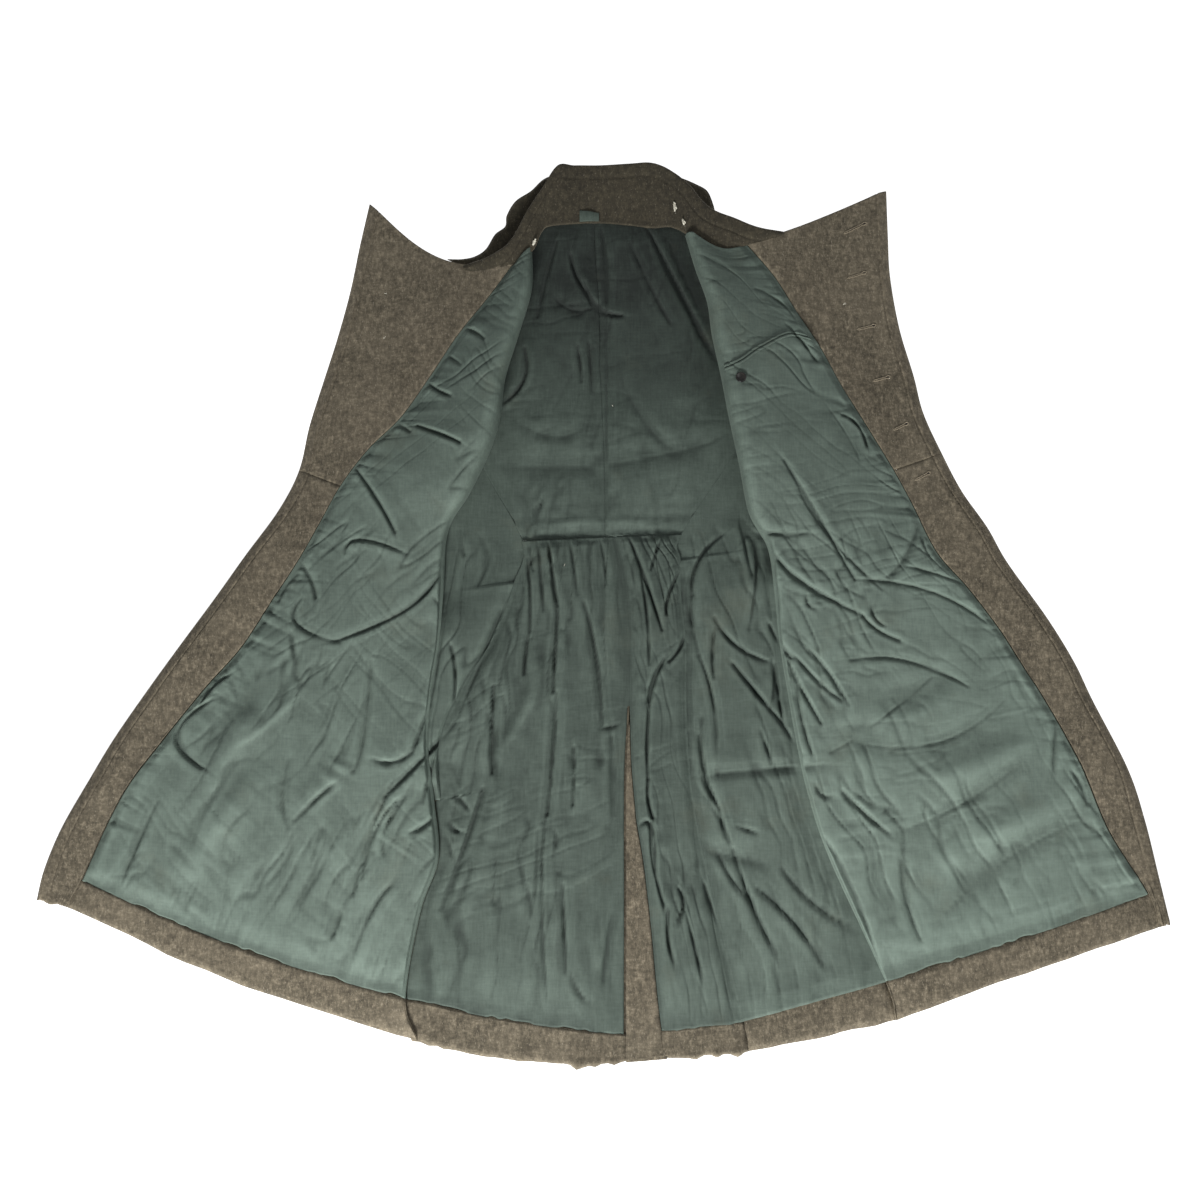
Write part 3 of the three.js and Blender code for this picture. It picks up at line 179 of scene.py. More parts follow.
# Creases that run across the panels' seams.
sharedFolds = [
    (-123, -2, -154, -79, -188, -163, -8, 6, 1), (-188, -163, -227, -210, -273, -257, -8, 5, 1),
    (-273, -257, -295, -315, -312, -380, -4, 5, 1), (-215, -2, -208, -47, -220, -139, -4, 5, 1),
    (-220, -139, -232, -175, -241, -202, -4, 4, 1), (-138, -115, -140, -171, -139, -228, -8, 4, -1),
    (-92, -43, -96, -67, -99, -99, -5, 3, 1), (-55, -10, -58, -63, -61, -123, -7, 3, 1),
    (-56, -123, -60, -194, -67, -280, -6, 3, 1), (-69, -280, -74, -376, -67, -507, -4, 3, 1),
    (-79, -299, -81, -357, -87, -406, -4, 3, 1), (-47, -368, -45, -425, -44, -478, -6, 3, 1),
    (83, -79, 69, -111, 63, -135, -7, 4, -1), (66, -280, 68, -338, 81, -395, -7, 4, 1),
    (-187, -257, -179, -261, -167, -276, -4, 3, 1), (-194, -288, -186, -299, -174, -303, -4, 3, 1),
    (-199, -307, -193, -319, -189, -334, -5, 4, 1), (-327, -399, -331, -418, -338, -437, -5, 3, 1),
    (-464, -194, -426, -163, -384, -121, 3, 6, 0), (-317, -226, -306, -190, -297, -83, -3, 5, 0),
    (-389, -288, -363, -261, -340, -241, -3.5, 4, 1), (-368, -346, -361, -319, -354, -296, -2.5, 4, 0),
    (-290, -210, -266, -214, -243, -202, -4, 5, 1), (-37, -481, -25, -504, -14, -515, -3, 4, 0),
    (5, -489, 9, -444, 15, -406, -6, 4, 1), (15, -179, 19, -226, 18, -280, -4, 3, 1),
    (-34, -194, -33, -226, -35, -269, -5, 3, 1), (-201, -330, -216, -376, -222, -433, -6, 4, 1),
    (-262, -368, -288, -403, -314, -470, -3, 5, 1), (-301, -357, -287, -303, -257, -261, -5, 4, 1),
    (-275, -330, -272, -296, -249, -257, -4, 3, 1), (-392, -2, -395, -35, -338, -59, -3, 5, 0),
    (-194, -63, -188, -95, -189, -131, -5, 4, 1), (-211, -194, -219, -230, -226, -265, -5, 4, -1),
    (-240, -303, -210, -280, -199, -241, -6, 4, 1), (133, -368, 143, -399, 151, -418, -6, 4, 1),
    (128, -179, 135, -226, 143, -261, -6, 4, 1), (98, -372, 106, -391, 98, -414, -5, 4, 1),
    (48, -296, 66, -296, 70, -349, -6, 4, 1), (-397, -296, -406, -257, -400, -210, -2.5, 6, 0),
    (-421, -368, -399, -338, -389, -311, -2.5, 5, 0), (87, -399, 86, -433, 93, -466, -6, 4, 1),
    (39, 82, 60, 26, 81, -41, -8, 4, 1), (81, -86, 69, -107, 64, -140, -8, 4, 1),
    (111, -26, 109, -56, 90, -83, -5, 3, 1), (64, -140, 61, -191, 62, -235, -6, 3, 1),
    (54, 36, 62, -26, 64, -86, -4, 3, 1), (164, 88, 130, 51, 121, 5, -5, 5, 1),
    (121, 5, 120, -26, 129, -74, -5, 5, 1), (114, -53, 113, -146, 119, -264, -6, 3, 1),
    (129, -74, 146, -131, 151, -200, -4, 3, 1), (132, -155, 134, -220, 153, -273, -7, 3, 1),
    (150, -26, 177, -62, 218, -83, -4, 4, 1), (173, -86, 194, -113, 220, -146, -6, 4, 1),
    (220, -146, 237, -167, 260, -205, -6, 4, 1), (220, -143, 226, -116, 224, -80, -4, 3, 1),
    (227, -86, 232, -131, 237, -164, -7, 3, 1), (222, -35, 234, -59, 248, -80, -8, 4, 1),
    (245, -83, 259, -116, 285, -164, -7, 3, 1), (254, -77, 283, -110, 312, -134, -5, 3, 1),
    (272, -68, 298, -101, 321, -140, -5, 3, 1), (256, -116, 261, -161, 276, -214, -5, 3, 1),
    (147, -229, 207, -223, 289, -217, -6, 9, 1), (198, 97, 219, 85, 273, 85, -7, 6, 1),
    (194, 88, 206, 51, 195, -41, -6, 5, -1), (224, 48, 232, 5, 232, -50, -7, 4, 1),
    (230, 57, 266, 20, 343, -23, -8, 5, 1), (343, -23, 360, -41, 390, -56, -5, 5, 1),
    (296, -202, 356, -164, 430, -104, -7, 20, 0), (312, -252, 338, -279, 369, -305, -7, 4, 1),
    (374, 26, 400, 54, 423, 104, -5, 8, 1), (277, -241, 282, -255, 294, -258, -4, 4, 0),
    (150, -38, 147, -74, 148, -104, -5, 3, 1), (207, -173, 216, -200, 221, -220, -4, 3, 1),
    (183, 151, 188, 97, 199, 29, -6, 6, -1), (355, -7, 358, -26, 372, -38, -3, 4, 0),
    (271, 11, 271, -7, 280, -14, -3, 3, 0), (15, -161, 15, -220, 16, -287, -4, 3, 1),
    (428, 88, 425, 76, 436, 51, -4, 4, 0), (0, -170, 18, -167, 30, -161, -4, 4, 0),
    (67, 39, 73, 60, 79, 79, -4, 3, 1), (87, -20, 90, 5, 104, 36, -5, 3, 1),
]


def column(table, index, row):
    values = np.array([entry[index] for entry in table], float)
    row = np.clip(np.asarray(row, float), 0, len(values) - 1)
    start = np.minimum(row.astype(int), len(values) - 2)
    t = row - start
    ends = np.concatenate([[2 * values[0] - values[1]], values, [2 * values[-1] - values[-2]]])
    p0, p1, p2, p3 = ends[start], ends[start + 1], ends[start + 2], ends[start + 3]
    return p1 + 0.5 * t * (p2 - p0 + t * (2 * p0 - 5 * p1 + 4 * p2 - p3 + t * (3 * (p1 - p2) + p3 - p0)))


# Places in a table's two neighbouring columns of x and y, at a row.
def placeAt(table, row, index=0):
    return np.stack([column(table, index, row), column(table, index + 1, row)], -1)


def withHeight(plan, height):
    return np.concatenate([plan, np.broadcast_to(height, plan.shape[:-1])[..., None]], -1)


def smooth(t):
    t = np.clip(t, 0, 1)
    return t * t * (3 - 2 * t)


# One inside a panel and zero at both its ends.
def inland(share, steepness):
    return smooth(share * steepness) * smooth((1 - share) * steepness)


# How far a turned-up hem's round has risen, away from its edge; start is its share at the edge itself.
def hemRound(toHem, start):
    return smooth(toHem / 5 + start) ** 0.5


def mix(a, b, t):
    return a + (b - a) * t


def bell(distance, width):
    return np.exp(-((distance / width) ** 2))


lattice = rng.random((256, 256)) * 2 - 1


# Smooth noise from -1 to 1 on a plane, with a feature about every unit.
def noise(x, y):
    x, y = np.asarray(x, float), np.asarray(y, float)
    i, j = np.floor(x).astype(int), np.floor(y).astype(int)
    u, v = smooth(x - i), smooth(y - j)
    corner = lambda a, b: lattice[(i + a) % 256, (j + b) % 256]
    return mix(mix(corner(0, 0), corner(1, 0), u), mix(corner(0, 1), corner(1, 1), u), v)


# Height of a list of folds over the plane: a soft crease or ridge along each curve.
def foldHeight(folds, x, y):
    height = np.zeros_like(x)
    parts = 12
    t = np.linspace(0, 1, parts + 1)
    for fromX, fromY, midX, midY, toX, toY, rise, width, lap in folds:
        reach = 6 * width + 6
        near = ((x > min(fromX, midX, toX) - reach) & (x < max(fromX, midX, toX) + reach)
                & (y > min(fromY, midY, toY) - reach) & (y < max(fromY, midY, toY) + reach))
        if not near.any():
            continue
        px, py = x[near], y[near]
        best, along, side = np.full(px.shape, 1e9), np.zeros(px.shape), np.zeros(px.shape)
        bendX, bendY = 2 * midX - (fromX + toX) / 2, 2 * midY - (fromY + toY) / 2
        lineX = (1 - t) ** 2 * fromX + 2 * t * (1 - t) * bendX + t * t * toX
        lineY = (1 - t) ** 2 * fromY + 2 * t * (1 - t) * bendY + t * t * toY
        for k in range(parts):
            dx, dy = lineX[k + 1] - lineX[k], lineY[k + 1] - lineY[k]
            length = math.hypot(dx, dy)
            s = np.clip(((px - lineX[k]) * dx + (py - lineY[k]) * dy) / length ** 2, 0, 1)
            gapX, gapY = px - lineX[k] - s * dx, py - lineY[k] - s * dy
            distance = np.hypot(gapX, gapY)
            closer = distance < best
            best = np.where(closer, distance, best)
            along = np.where(closer, (k + s) / parts, along)
            side = np.where(closer, np.sign(dx * gapY - dy * gapX), side)
        taper = np.sin(np.pi * np.clip(0.08 + 0.84 * along, 0, 1)) ** 0.8
        taper = taper * bell(np.maximum(0, best - reach * 0.7), 4)
        wobble = 0.8 + 0.35 * noise(along * 6 + fromX, rise)
        if rise > 0:
            shape = bell(best, width)
        else:
            lapped = np.where(side * lap > 0, 0.75, 0.12) if lap else np.full(best.shape, 0.3)
            swell = lapped * np.exp(-best / (2.6 * width)) * smooth(best / 2.6)
            keen = 0.85 if width < 7.5 else 0.08
            shape = mix(0.9, 0.45, keen) * bell(best, width) + keen * bell(best, 1.9) - swell
        height[near] += rise * wobble * taper * shape
    return height


# A panel's own folds and those that run across its seams.
def panelFolds(folds, x, y):
    return 1.5 * foldHeight(folds, x, y) + 1.15 * foldHeight(sharedFolds, x, y)


# Small gathers that stand across a seam and die out away from it, all distances in millimetres.
def puckers(along, away, reach, spacing, seed):
    drift = 0.3 * away / spacing * noise(along / 45, seed)
    wave = noise(along / spacing + drift, seed + 0.5) + 0.5 * noise(along / spacing * 2.1 + drift, seed + 7.5)
    sharp = (1 - np.clip(np.abs(noise(along / (1.4 * spacing) + drift, seed + 5.5)) * 2.2, 0, 1)) ** 3
    strength = np.clip(0.6 + 0.7 * noise(along / 60, seed + 3.5), 0.12, 1.3)
    ending = reach * (1 + 0.6 * noise(along / 19, seed + 9.5))
    return (0.7 * wave - 1.3 * sharp) * strength * np.exp(-away / ending)


# Ripples of a wool hem: how far it strays down and how high it stands.
def hemRipple(along, toHem, seed):
    near = np.exp(-np.maximum(0, toHem) / 30)
    stray = (1.5 * noise(along / 26, seed) + 0.7 * noise(along / 11, seed + 2)) * near
    stand = np.clip(1.6 * noise(along / 24, seed + 4) + 0.8 * noise(along / 9, seed + 6), -0.3, 3) * near
    return stray, stand


# How far a gathered lining's hem strays up and down.
def hemStray(along, toHem, seed):
    wave = 1.8 * noise(along / 9, seed) + 2.2 * noise(along / 38, seed + 3)
    return wave * np.exp(-np.maximum(0, toHem) / 13)


def looseness(x, y, seed):
    broad = noise(x / 95 + seed, y / 120) + 0.5 * noise(x / 42, y / 55 + seed)
    return broad + 0.22 * noise(x / 17 + seed, y / 23)


# Sharp creases of crumpled cotton: thin troughs that wander along one direction, here and there.
def crinkles(x, y, direction, length, width, seed):
    direction = np.radians(direction)
    along = x * np.cos(direction) + y * np.sin(direction)
    beside = -x * np.sin(direction) + y * np.cos(direction)
    beside = beside + 9 * noise(along / 60 + seed, beside / 80)
    wave = noise(along / (1.9 * length) + seed, beside / width + 2 * seed)
    wave = wave + 0.25 * noise(along / 30, beside / 9 + seed)
    crease = (1 - np.clip(np.abs(wave) * 1.6, 0, 1)) ** 5
    patch = smooth(0.5 + 1.1 * noise(x / 70 + 3 * seed, y / 80 + seed))
    return (0.45 * wave - crease) * (0.25 + 0.9 * patch)


def meshObject(name, points, faces):
    mesh = bpy.data.meshes.new(name)
    mesh.vertices.add(len(points))
    mesh.vertices.foreach_set("co", (points * mm).astype(np.float32).ravel())
    mesh.loops.add(faces.size)
    mesh.loops.foreach_set("vertex_index", faces.astype(np.int32).ravel())
    mesh.polygons.add(len(faces))
    mesh.polygons.foreach_set("loop_start", np.arange(0, faces.size, faces.shape[1], dtype=np.int32))
    mesh.polygons.foreach_set("use_smooth", np.ones(len(faces), bool))
    mesh.update(calc_edges=True)
    mesh.validate()
    piece = bpy.data.objects.new(name, mesh)
    bpy.context.collection.objects.link(piece)
    return piece


def gridFaces(rows, columns, offset=0):
    index = np.arange(rows * columns).reshape(rows, columns) + offset
    return np.stack([index[:-1, :-1], index[:-1, 1:], index[1:, 1:], index[1:, :-1]], -1).reshape(-1, 4)


# The node that a cloth piece stands for: lining_back_skirt_r for liningBackSkirt_r.
def nodeOf(name):
    return "".join("_" + letter.lower() if letter.isupper() else letter for letter in name)


def dress(piece, material, node=None):
    piece.data.materials.append(material)
    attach(piece, "root")
    if node:
        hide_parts(node)


# One cloth wall from its upper and lower grids of points, with the tone of its upper side, painted light
# and shade mixed in. Without a lower grid it is an open sheet, its rim turned down by the lining's wall.
def clothPiece(name, upper, lower, material, slot, tone=None):
    rows, columns = upper.shape[:2]
    i, j = rows // 2, columns // 3
    if np.cross(upper[i + 1, j] - upper[i, j], upper[i, j + 1] - upper[i, j])[2] < 0:
        upper = upper[:, ::-1]
        lower = None if lower is None else lower[:, ::-1]
        tone = None if tone is None else tone[:, ::-1]
    layer = rows * columns
    index = np.arange(layer).reshape(rows, columns)
    ring = np.concatenate([index[0, :-1], index[:-1, -1], index[-1, :0:-1], index[:0:-1, 0]])
    points = upper.reshape(-1, 3)
    values = np.full(layer, 0.5) if tone is None else tone.ravel()
    faces = [gridFaces(rows, columns)[:, ::-1]]
    if lower is None:
        under = layer + np.arange(len(ring))
        points = np.concatenate([points, points[ring] - [0, 0, liningWall]])
        values = np.concatenate([values, values[ring]])
    else:
        under = ring + layer
        points = np.concatenate([points, lower.reshape(-1, 3)])
        values = np.concatenate([values, values])
        faces.append(gridFaces(rows, columns, layer))
    faces.append(np.stack([np.roll(under, -1), under, ring, np.roll(ring, -1)], -1))
    piece = meshObject(name, points - planCentre, np.concatenate(faces))
    attribute = piece.data.attributes.new("tone", "FLOAT", "POINT")
    attribute.data.foreach_set("value", values.astype(np.float32))
    dress(piece, material, nodeOf(name) if slot else None)


# A panel of the lining, open underneath, over a plan and its heights.
def liningPiece(name, plan, low, lining, tone):
    clothPiece(name, withHeight(plan, low + liningWall), None, lining, "lining", tone)


def steps(start, end, millimetres, spacing, extra=()):
    count = max(2, int(round(millimetres / spacing)))
    values = np.concatenate([np.linspace(start, end, count + 1), np.asarray(extra, float)])
    return np.unique(np.round(values, 6))


# Plan of a front at a row, and a point of it above its wool shell, as in the solids.
def frontSection(half, row):
    value = {name: column(half["front"], 6 + k, row) for k, name in enumerate(frontHeights)}
    edge, seam, inner = (placeAt(half["front"], row, index) for index in (0, 2, 4))
    inward = (inner - seam) / np.linalg.norm(inner - seam, axis=-1, keepdims=True)
    turn = np.radians(np.minimum(value["turn"], 180))
    fullRadius = (value["rollZ"] - rollFoot) / (1 - np.cos(turn))
    radius = np.maximum(4, np.minimum(fullRadius, 8 + 0.15 * np.maximum(0, value["turn"] - 90)))
    reach = (radius + layerGap + liningWall) * np.sin(np.minimum(turn, math.pi / 2))
    rollStart = inner - inward * reach[..., None]
    return edge, seam, inner, inward, turn, radius, rollStart, value


def frontPoint(half, row, across, lift):
    edge, seam, _, inward, turn, radius, rollStart, value = frontSection(half, row)
    width = np.linalg.norm(edge - seam, axis=-1)
    a, b = np.clip(across, 0, 1), np.clip(across - 1, 0, 1)
    angle = turn * np.clip(across - 2, 0, 1)
    out = np.where(across > 2, radius + lift, 0)
    plan = mix(edge, seam, a[..., None]) + (rollStart - seam) * b[..., None]
    plan = plan + inward * (out * np.sin(angle))[..., None]
    facingSag, liningSag = value["facingSag"] * np.sin(np.pi * a), value["liningSag"] * np.sin(np.pi * b)
    sag = np.where(across <= 1, facingSag, liningSag)
    plateau = np.minimum(plateauHeight, value["seamZ"])
    beyond = np.maximum(0, a - edgeDrop / width)
    facing = mix(woolWall, plateau, smooth(a * width / edgeDrop)) + (value["seamZ"] - plateau) * smooth(beyond)
    flat = np.where(across <= 1, facing, mix(value["seamZ"], value["rollZ"], smooth(b)))
    height = np.where(across > 2, value["rollZ"] - radius + out * np.cos(angle), flat + lift)
    return np.stack([plan[..., 0], plan[..., 1] + np.where(across > 2, 0, sag), height], -1)


# Lengths in millimetres from the neck down the seam to a row, and from the seam inwards.
def seamLength(half, row):
    fine = np.linspace(0, hemRow, 321)
    x, y = column(half["front"], 2, fine), column(half["front"], 3, fine)
    length = np.concatenate([[0], np.cumsum(np.hypot(np.diff(x), np.diff(y)))])
    return np.interp(row, fine, length)


def acrossLining(half, row, across):
    _, seam, _, _, turn, radius, rollStart, _ = frontSection(half, row)
    flat = np.linalg.norm(rollStart - seam, axis=-1)
    return np.clip(across - 1, 0, 1) * flat + np.clip(across - 2, 0, 1) * turn * radius


def frontLiningLift(half, row, across):
    sign = half["sign"]
    plan = frontPoint(half, row, across, 0)
    x, y = plan[..., 0], plan[..., 1]
    inside = acrossLining(half, row, across)
    toHem = (liningHemRow - row) * rowPitch["liningHem"]
    fade = smooth(inside / 14) * smooth((2.45 - across) * 2.4) * smooth(toHem / 22)
    folds = panelFolds(frontFolds, x, y) + 2.0 * looseness(x, y, 3 + sign)
    fan = 90 + sign * 28
    folds = folds + 2.3 * crinkles(x, y, fan, 75, 17, 4.3) * smooth((row - 6) / 3)
    folds = folds + 1.8 * crinkles(x, y, -sign * 38, 60, 15, 8.1) * smooth((12 - row) / 3)
    folds = folds + 0.9 * crinkles(x, y, fan + 70, 40, 11, 6.7)
    seamGathers = 3.6 * puckers(seamLength(half, row), inside, 22, 10, 11 + sign)
    hemGathers = 1.6 * puckers(inside, toHem, 22, 11, 21 + sign) * smooth(inside / 10)
    nearRoll = smooth((2.5 - across) * 3)
    full = 4.6 * fade + folds * fade + seamGathers * smooth(inside / 1.5) * nearRoll
    return layerGap + 0.5 + np.maximum(0, full + hemGathers * smooth(toHem / 2) * nearRoll)


# Tone of the lining: the panel's base, painted light rising towards the hem, the cotton's own random blotches,
# and painted shade in the creases.
def liningToneAndShade(x, y, height, base):
    blotches = 0.05 * noise(x / 60, y / 75) + 0.03 * noise(x / 21, y / 26 + 40)
    # Painted shade: darker where the cloth lies lower than the cloth around it.
    around = sum(np.roll(height, step, axis) for step in (5, -5) for axis in (0, 1)) / 4
    creaseShade = np.clip(height - around, -2.5, 1) * 0.11
    return np.clip(base + 0.14 * smooth((-y + 250) / 600) + blotches + creaseShade, 0, 1)


# Every layer's grid of points: a row and a share across for each, given to a function of its place.
def gridOf(rows, columns):
    return np.meshgrid(np.asarray(rows, float), np.asarray(columns, float), indexing="ij")


fineness = 1.0
frontPanels = (("Bodice", 0, facingWaistRow), ("Skirt", facingWaistRow, hemRow))
facingLook = {"spacing": 2.3, "stitchInset": 16.0, "stitchDepth": 1.5, "stitchLength": 5.5, "edgeRound": 4.5,
              "nap": 1.3}
# Columns of a facing, in millimetres from its edge, close together at the round and the stitches.
facingRuns = np.array([*range(7), 8, 10.5, 12.5, *np.linspace(13.8, 18.4, 9), 20, 23, 26, 30])
liningLook = {"spacing": 2.15, "columns": 190}
shellSpacing, innerSpacing, ventSpacing = 9.0 * fineness, 2.4 * fineness, 5.0 * fineness
sleeveSpacing, standSpacing, fallSpacing = 12.0 * fineness, 3.0 * fineness, 3.5 * fineness
buttonholes = [  # keyhole slits on the facing, inner end and keyhole end, and how far each gapes
    {"from": (335, 508), "to": (365, 524), "gape": 1.5}, {"from": (338, 443), "to": (363, 452), "gape": 0.7},
    {"from": (349, 369), "to": (373, 376), "gape": 1.3}, {"from": (368, 296), "to": (390, 303), "gape": 1.2},
    {"from": (393, 228), "to": (412, 238), "gape": 1.2}, {"from": (419, 159), "to": (439, 170), "gape": 1.1},
]


def facingTop(half, row, across):
    sign = half["sign"]
    edge, seam = frontSection(half, row)[:2]
    width = np.linalg.norm(edge - seam, axis=-1)
    run, left = across * width, (1 - across) * width
    plan = frontPoint(half, row, across, 0)
    along = seamLength(half, row)
    inset, waist = facingLook["stitchInset"], (row - facingWaistRow) * rowPitch["waist"]
    stitch = bell(run - inset - 0.7 * noise(along / 90, 2), 1.5)
    stitch = stitch * (0.78 + 0.22 * np.cos(2 * np.pi * along / facingLook["stitchLength"]))
    relief = facingLook["nap"] * looseness(plan[..., 0], plan[..., 1], 5 + sign) * smooth(run / 30)
    relief = relief + 0.9 * puckers(along, left, 11, 9, 17 + sign) * smooth(left / 2)
    pulls = 0.35 * np.abs(noise(along / 5.5, 31)) * bell(run - inset, 5)
    relief = relief - facingLook["stitchDepth"] * stitch - pulls
    relief = relief - 0.9 * bell(waist, 1.4) + 0.4 * bell(waist - 5, 4) + 0.35 * bell(run - 8, 6)
    if sign < 0:  # a soft ridge inside the left skirt's edge
        relief = relief + 0.9 * bell(run - 26, 4) * smooth((row - 11.6) * 2) * smooth((13.9 - row) * 2)
    hem = 0.8 * puckers(run, np.maximum(0, (hemRow - row) * rowPitch["liningHem"]), 30, 9, 51 + sign)
    folded = smooth(run / facingLook["edgeRound"]) ** 0.6
    return layerGap + np.maximum(0.8, mix(0.9, 3.2, folded) + (relief + hem) * folded)


def addFacing(half, material):
    for name, first, last in frontPanels:
        rows = steps(first, last, (last - first) * rowPitch["front"], facingLook["spacing"] * fineness)
        edge, seam = frontSection(half, rows)[:2]
        width = np.linalg.norm(edge - seam, axis=-1)[:, None]
        near = facingRuns * np.minimum(1, 0.7 * width / facingRuns[-1]) / width
        share = np.concatenate([near, mix(near[:, -1:], 0.997, np.linspace(0, 1, int(30 / fineness))[1:])], 1)
        row = np.repeat(rows[:, None], share.shape[1], 1)
        upper = frontPoint(half, row, share, facingTop(half, row, share))
        lower = frontPoint(half, row, share, layerGap)
        toHem = (hemRow - row) * rowPitch["frontHem"]
        stray, stand = hemRipple(share * 220, toHem, 61 + half["sign"])
        for grid in (upper, lower):
            grid[..., 1] += stray * smooth(share * 12)
            grid[..., 2] += stand * smooth(share * 12)
        upper[..., 2] = mix(lower[..., 2] + 0.8, upper[..., 2], hemRound(toHem, 0.2))
        clothPiece(f"facing{name}_{half['side']}", upper, lower, material, "wool")


def addFrontShell(half, material):
    across = np.concatenate([np.linspace(0, 0.1, 5), np.linspace(0.2, 2, 34), np.linspace(2.1, 3, 12)])
    for name, first, last in frontPanels:
        extra = turnUpRows if last == hemRow else ()
        rows = steps(first, last, (last - first) * rowPitch["front"], shellSpacing, extra)
        row, share = gridOf(rows, across)
        toHem = (hemRow - row) * rowPitch["frontHem"]
        stray, stand = hemRipple(share * 220, toHem, 61 + half["sign"])
        rounded = hemRound(toHem, 0.15)
        turnUp = (hemTurnUp + 0.8 * stand) * rounded - woolWall * 0.6 * (1 - rounded)
        upper = frontPoint(half, row, share, np.where((row > liningHemRow) & (share > 1), turnUp, 0))
        lower = frontPoint(half, row, share, -woolWall)
        inHem = (last == hemRow) * smooth(share * 12)
        upper[..., 1] += stray * inHem
        lower[..., 1] += stray * inHem
        upper[..., 2] += stand * inHem
        lower[..., 2] = np.maximum(lower[..., 2] + stand * inHem * 0.8, 0.0)
        clothPiece(f"shellFront{name}_{half['side']}", upper, lower, material, "wool")


def addFrontLining(half, material):
    rows = steps(0, liningHemRow, pieceLength["frontLining"], liningLook["spacing"] * fineness)
    flat = 1.004 + 0.996 * np.linspace(0, 1, int(liningLook["columns"] * 0.86 / fineness)) ** 1.12
    rolled = np.linspace(2, 3, int(liningLook["columns"] * 0.14 / fineness))[1:]
    row, share = gridOf(rows, np.concatenate([flat, rolled]))
    lift = frontLiningLift(half, row, share)
    upper = frontPoint(half, row, share, lift + liningWall)
    stray = hemStray(upper[..., 0], (liningHemRow - row) * rowPitch["liningHem"], 33)
    upper[..., 1] += stray * smooth(acrossLining(half, row, share) / 10)
    # Painted light: a high base tone for the fronts, paler still on the right front towards the hem.
    paintedLightRight = 0.07 * (half["side"] == "r") * smooth((200 - upper[..., 1]) / 250)
    tone = liningToneAndShade(upper[..., 0], upper[..., 1], lift, 0.63 + paintedLightRight)
    clothPiece(f"liningFront_{half['side']}", upper, None, material, "lining", tone)


# Outlines of the back, from its centre to the side seam, by row.
def centre(row):
    skirt = placeAt(skirtCentreLine, row - waistRow)
    return np.where((row < waistRow)[..., None], placeAt(centreLine, row), skirt)


def sideEdge(half, row):
    def besideFront(atRow):
        inner, inward = frontSection(half, atRow)[2:4]
        return inner + inward * seamGap
    under = besideFront(np.full(np.shape(row), sideFootRow))
    top, waist = (np.array(place, float) for place in sideTops[half["side"]])
    high = mix(top, waist, np.clip(row - sideTopRow, 0, 1)[..., None])
    low = mix(waist, under, np.clip(row - waistRow, 0, 1)[..., None])
    edge = np.where((row >= waistRow)[..., None], low, high)
    return np.where((row >= sideFootRow)[..., None], besideFront(np.maximum(row, sideFootRow)), edge)


def backEdge(half, row):
    edge = placeAt(half["back"], row)
    if half["side"] == "l":
        return np.where((row > leftSideEndRow)[..., None], sideEdge(half, row), edge)
    return edge


def ventReach(row):
    return np.interp(row, np.arange(ventTopRow, hemRow + 1), ventWidth)


def ventStart(half, row, width):
    reach = ventReach(row) if half["side"] == "r" else 4.0
    return np.where(row > ventTopRow, reach / width, 0)


# Height at which a panel of the lining meets the front's roll, as in the solids.
def jointHeight(half, row):
    _, _, _, _, turn, radius, _, value = frontSection(half, row)
    meeting = value["rollZ"] - radius * (1 - np.cos(turn)) + layerGap
    slitStart = smooth((row - 10.5) / 1.5) if half["side"] == "l" else 0
    return mix(woolWall + layerGap + 0.6, meeting, smooth((row - 8.1) / 0.9) * (1 - slitStart))


def planGrid(first, last, share):
    return mix(first, last, share[..., None])


# The left skirt's hem hangs lower between the vent and the side, by so many millimetres from a row on.
hemSag = {"l": 12.0, "r": 0.0, "fromRow": 14.0}


def hemSagged(half, plan, row, share):
    sag = hemSag[half["side"]] * np.sin(np.pi * np.clip(share, 0, 1)) * smooth((row - hemSag["fromRow"]) / 2)
    return plan - np.stack([0 * sag, sag], -1)


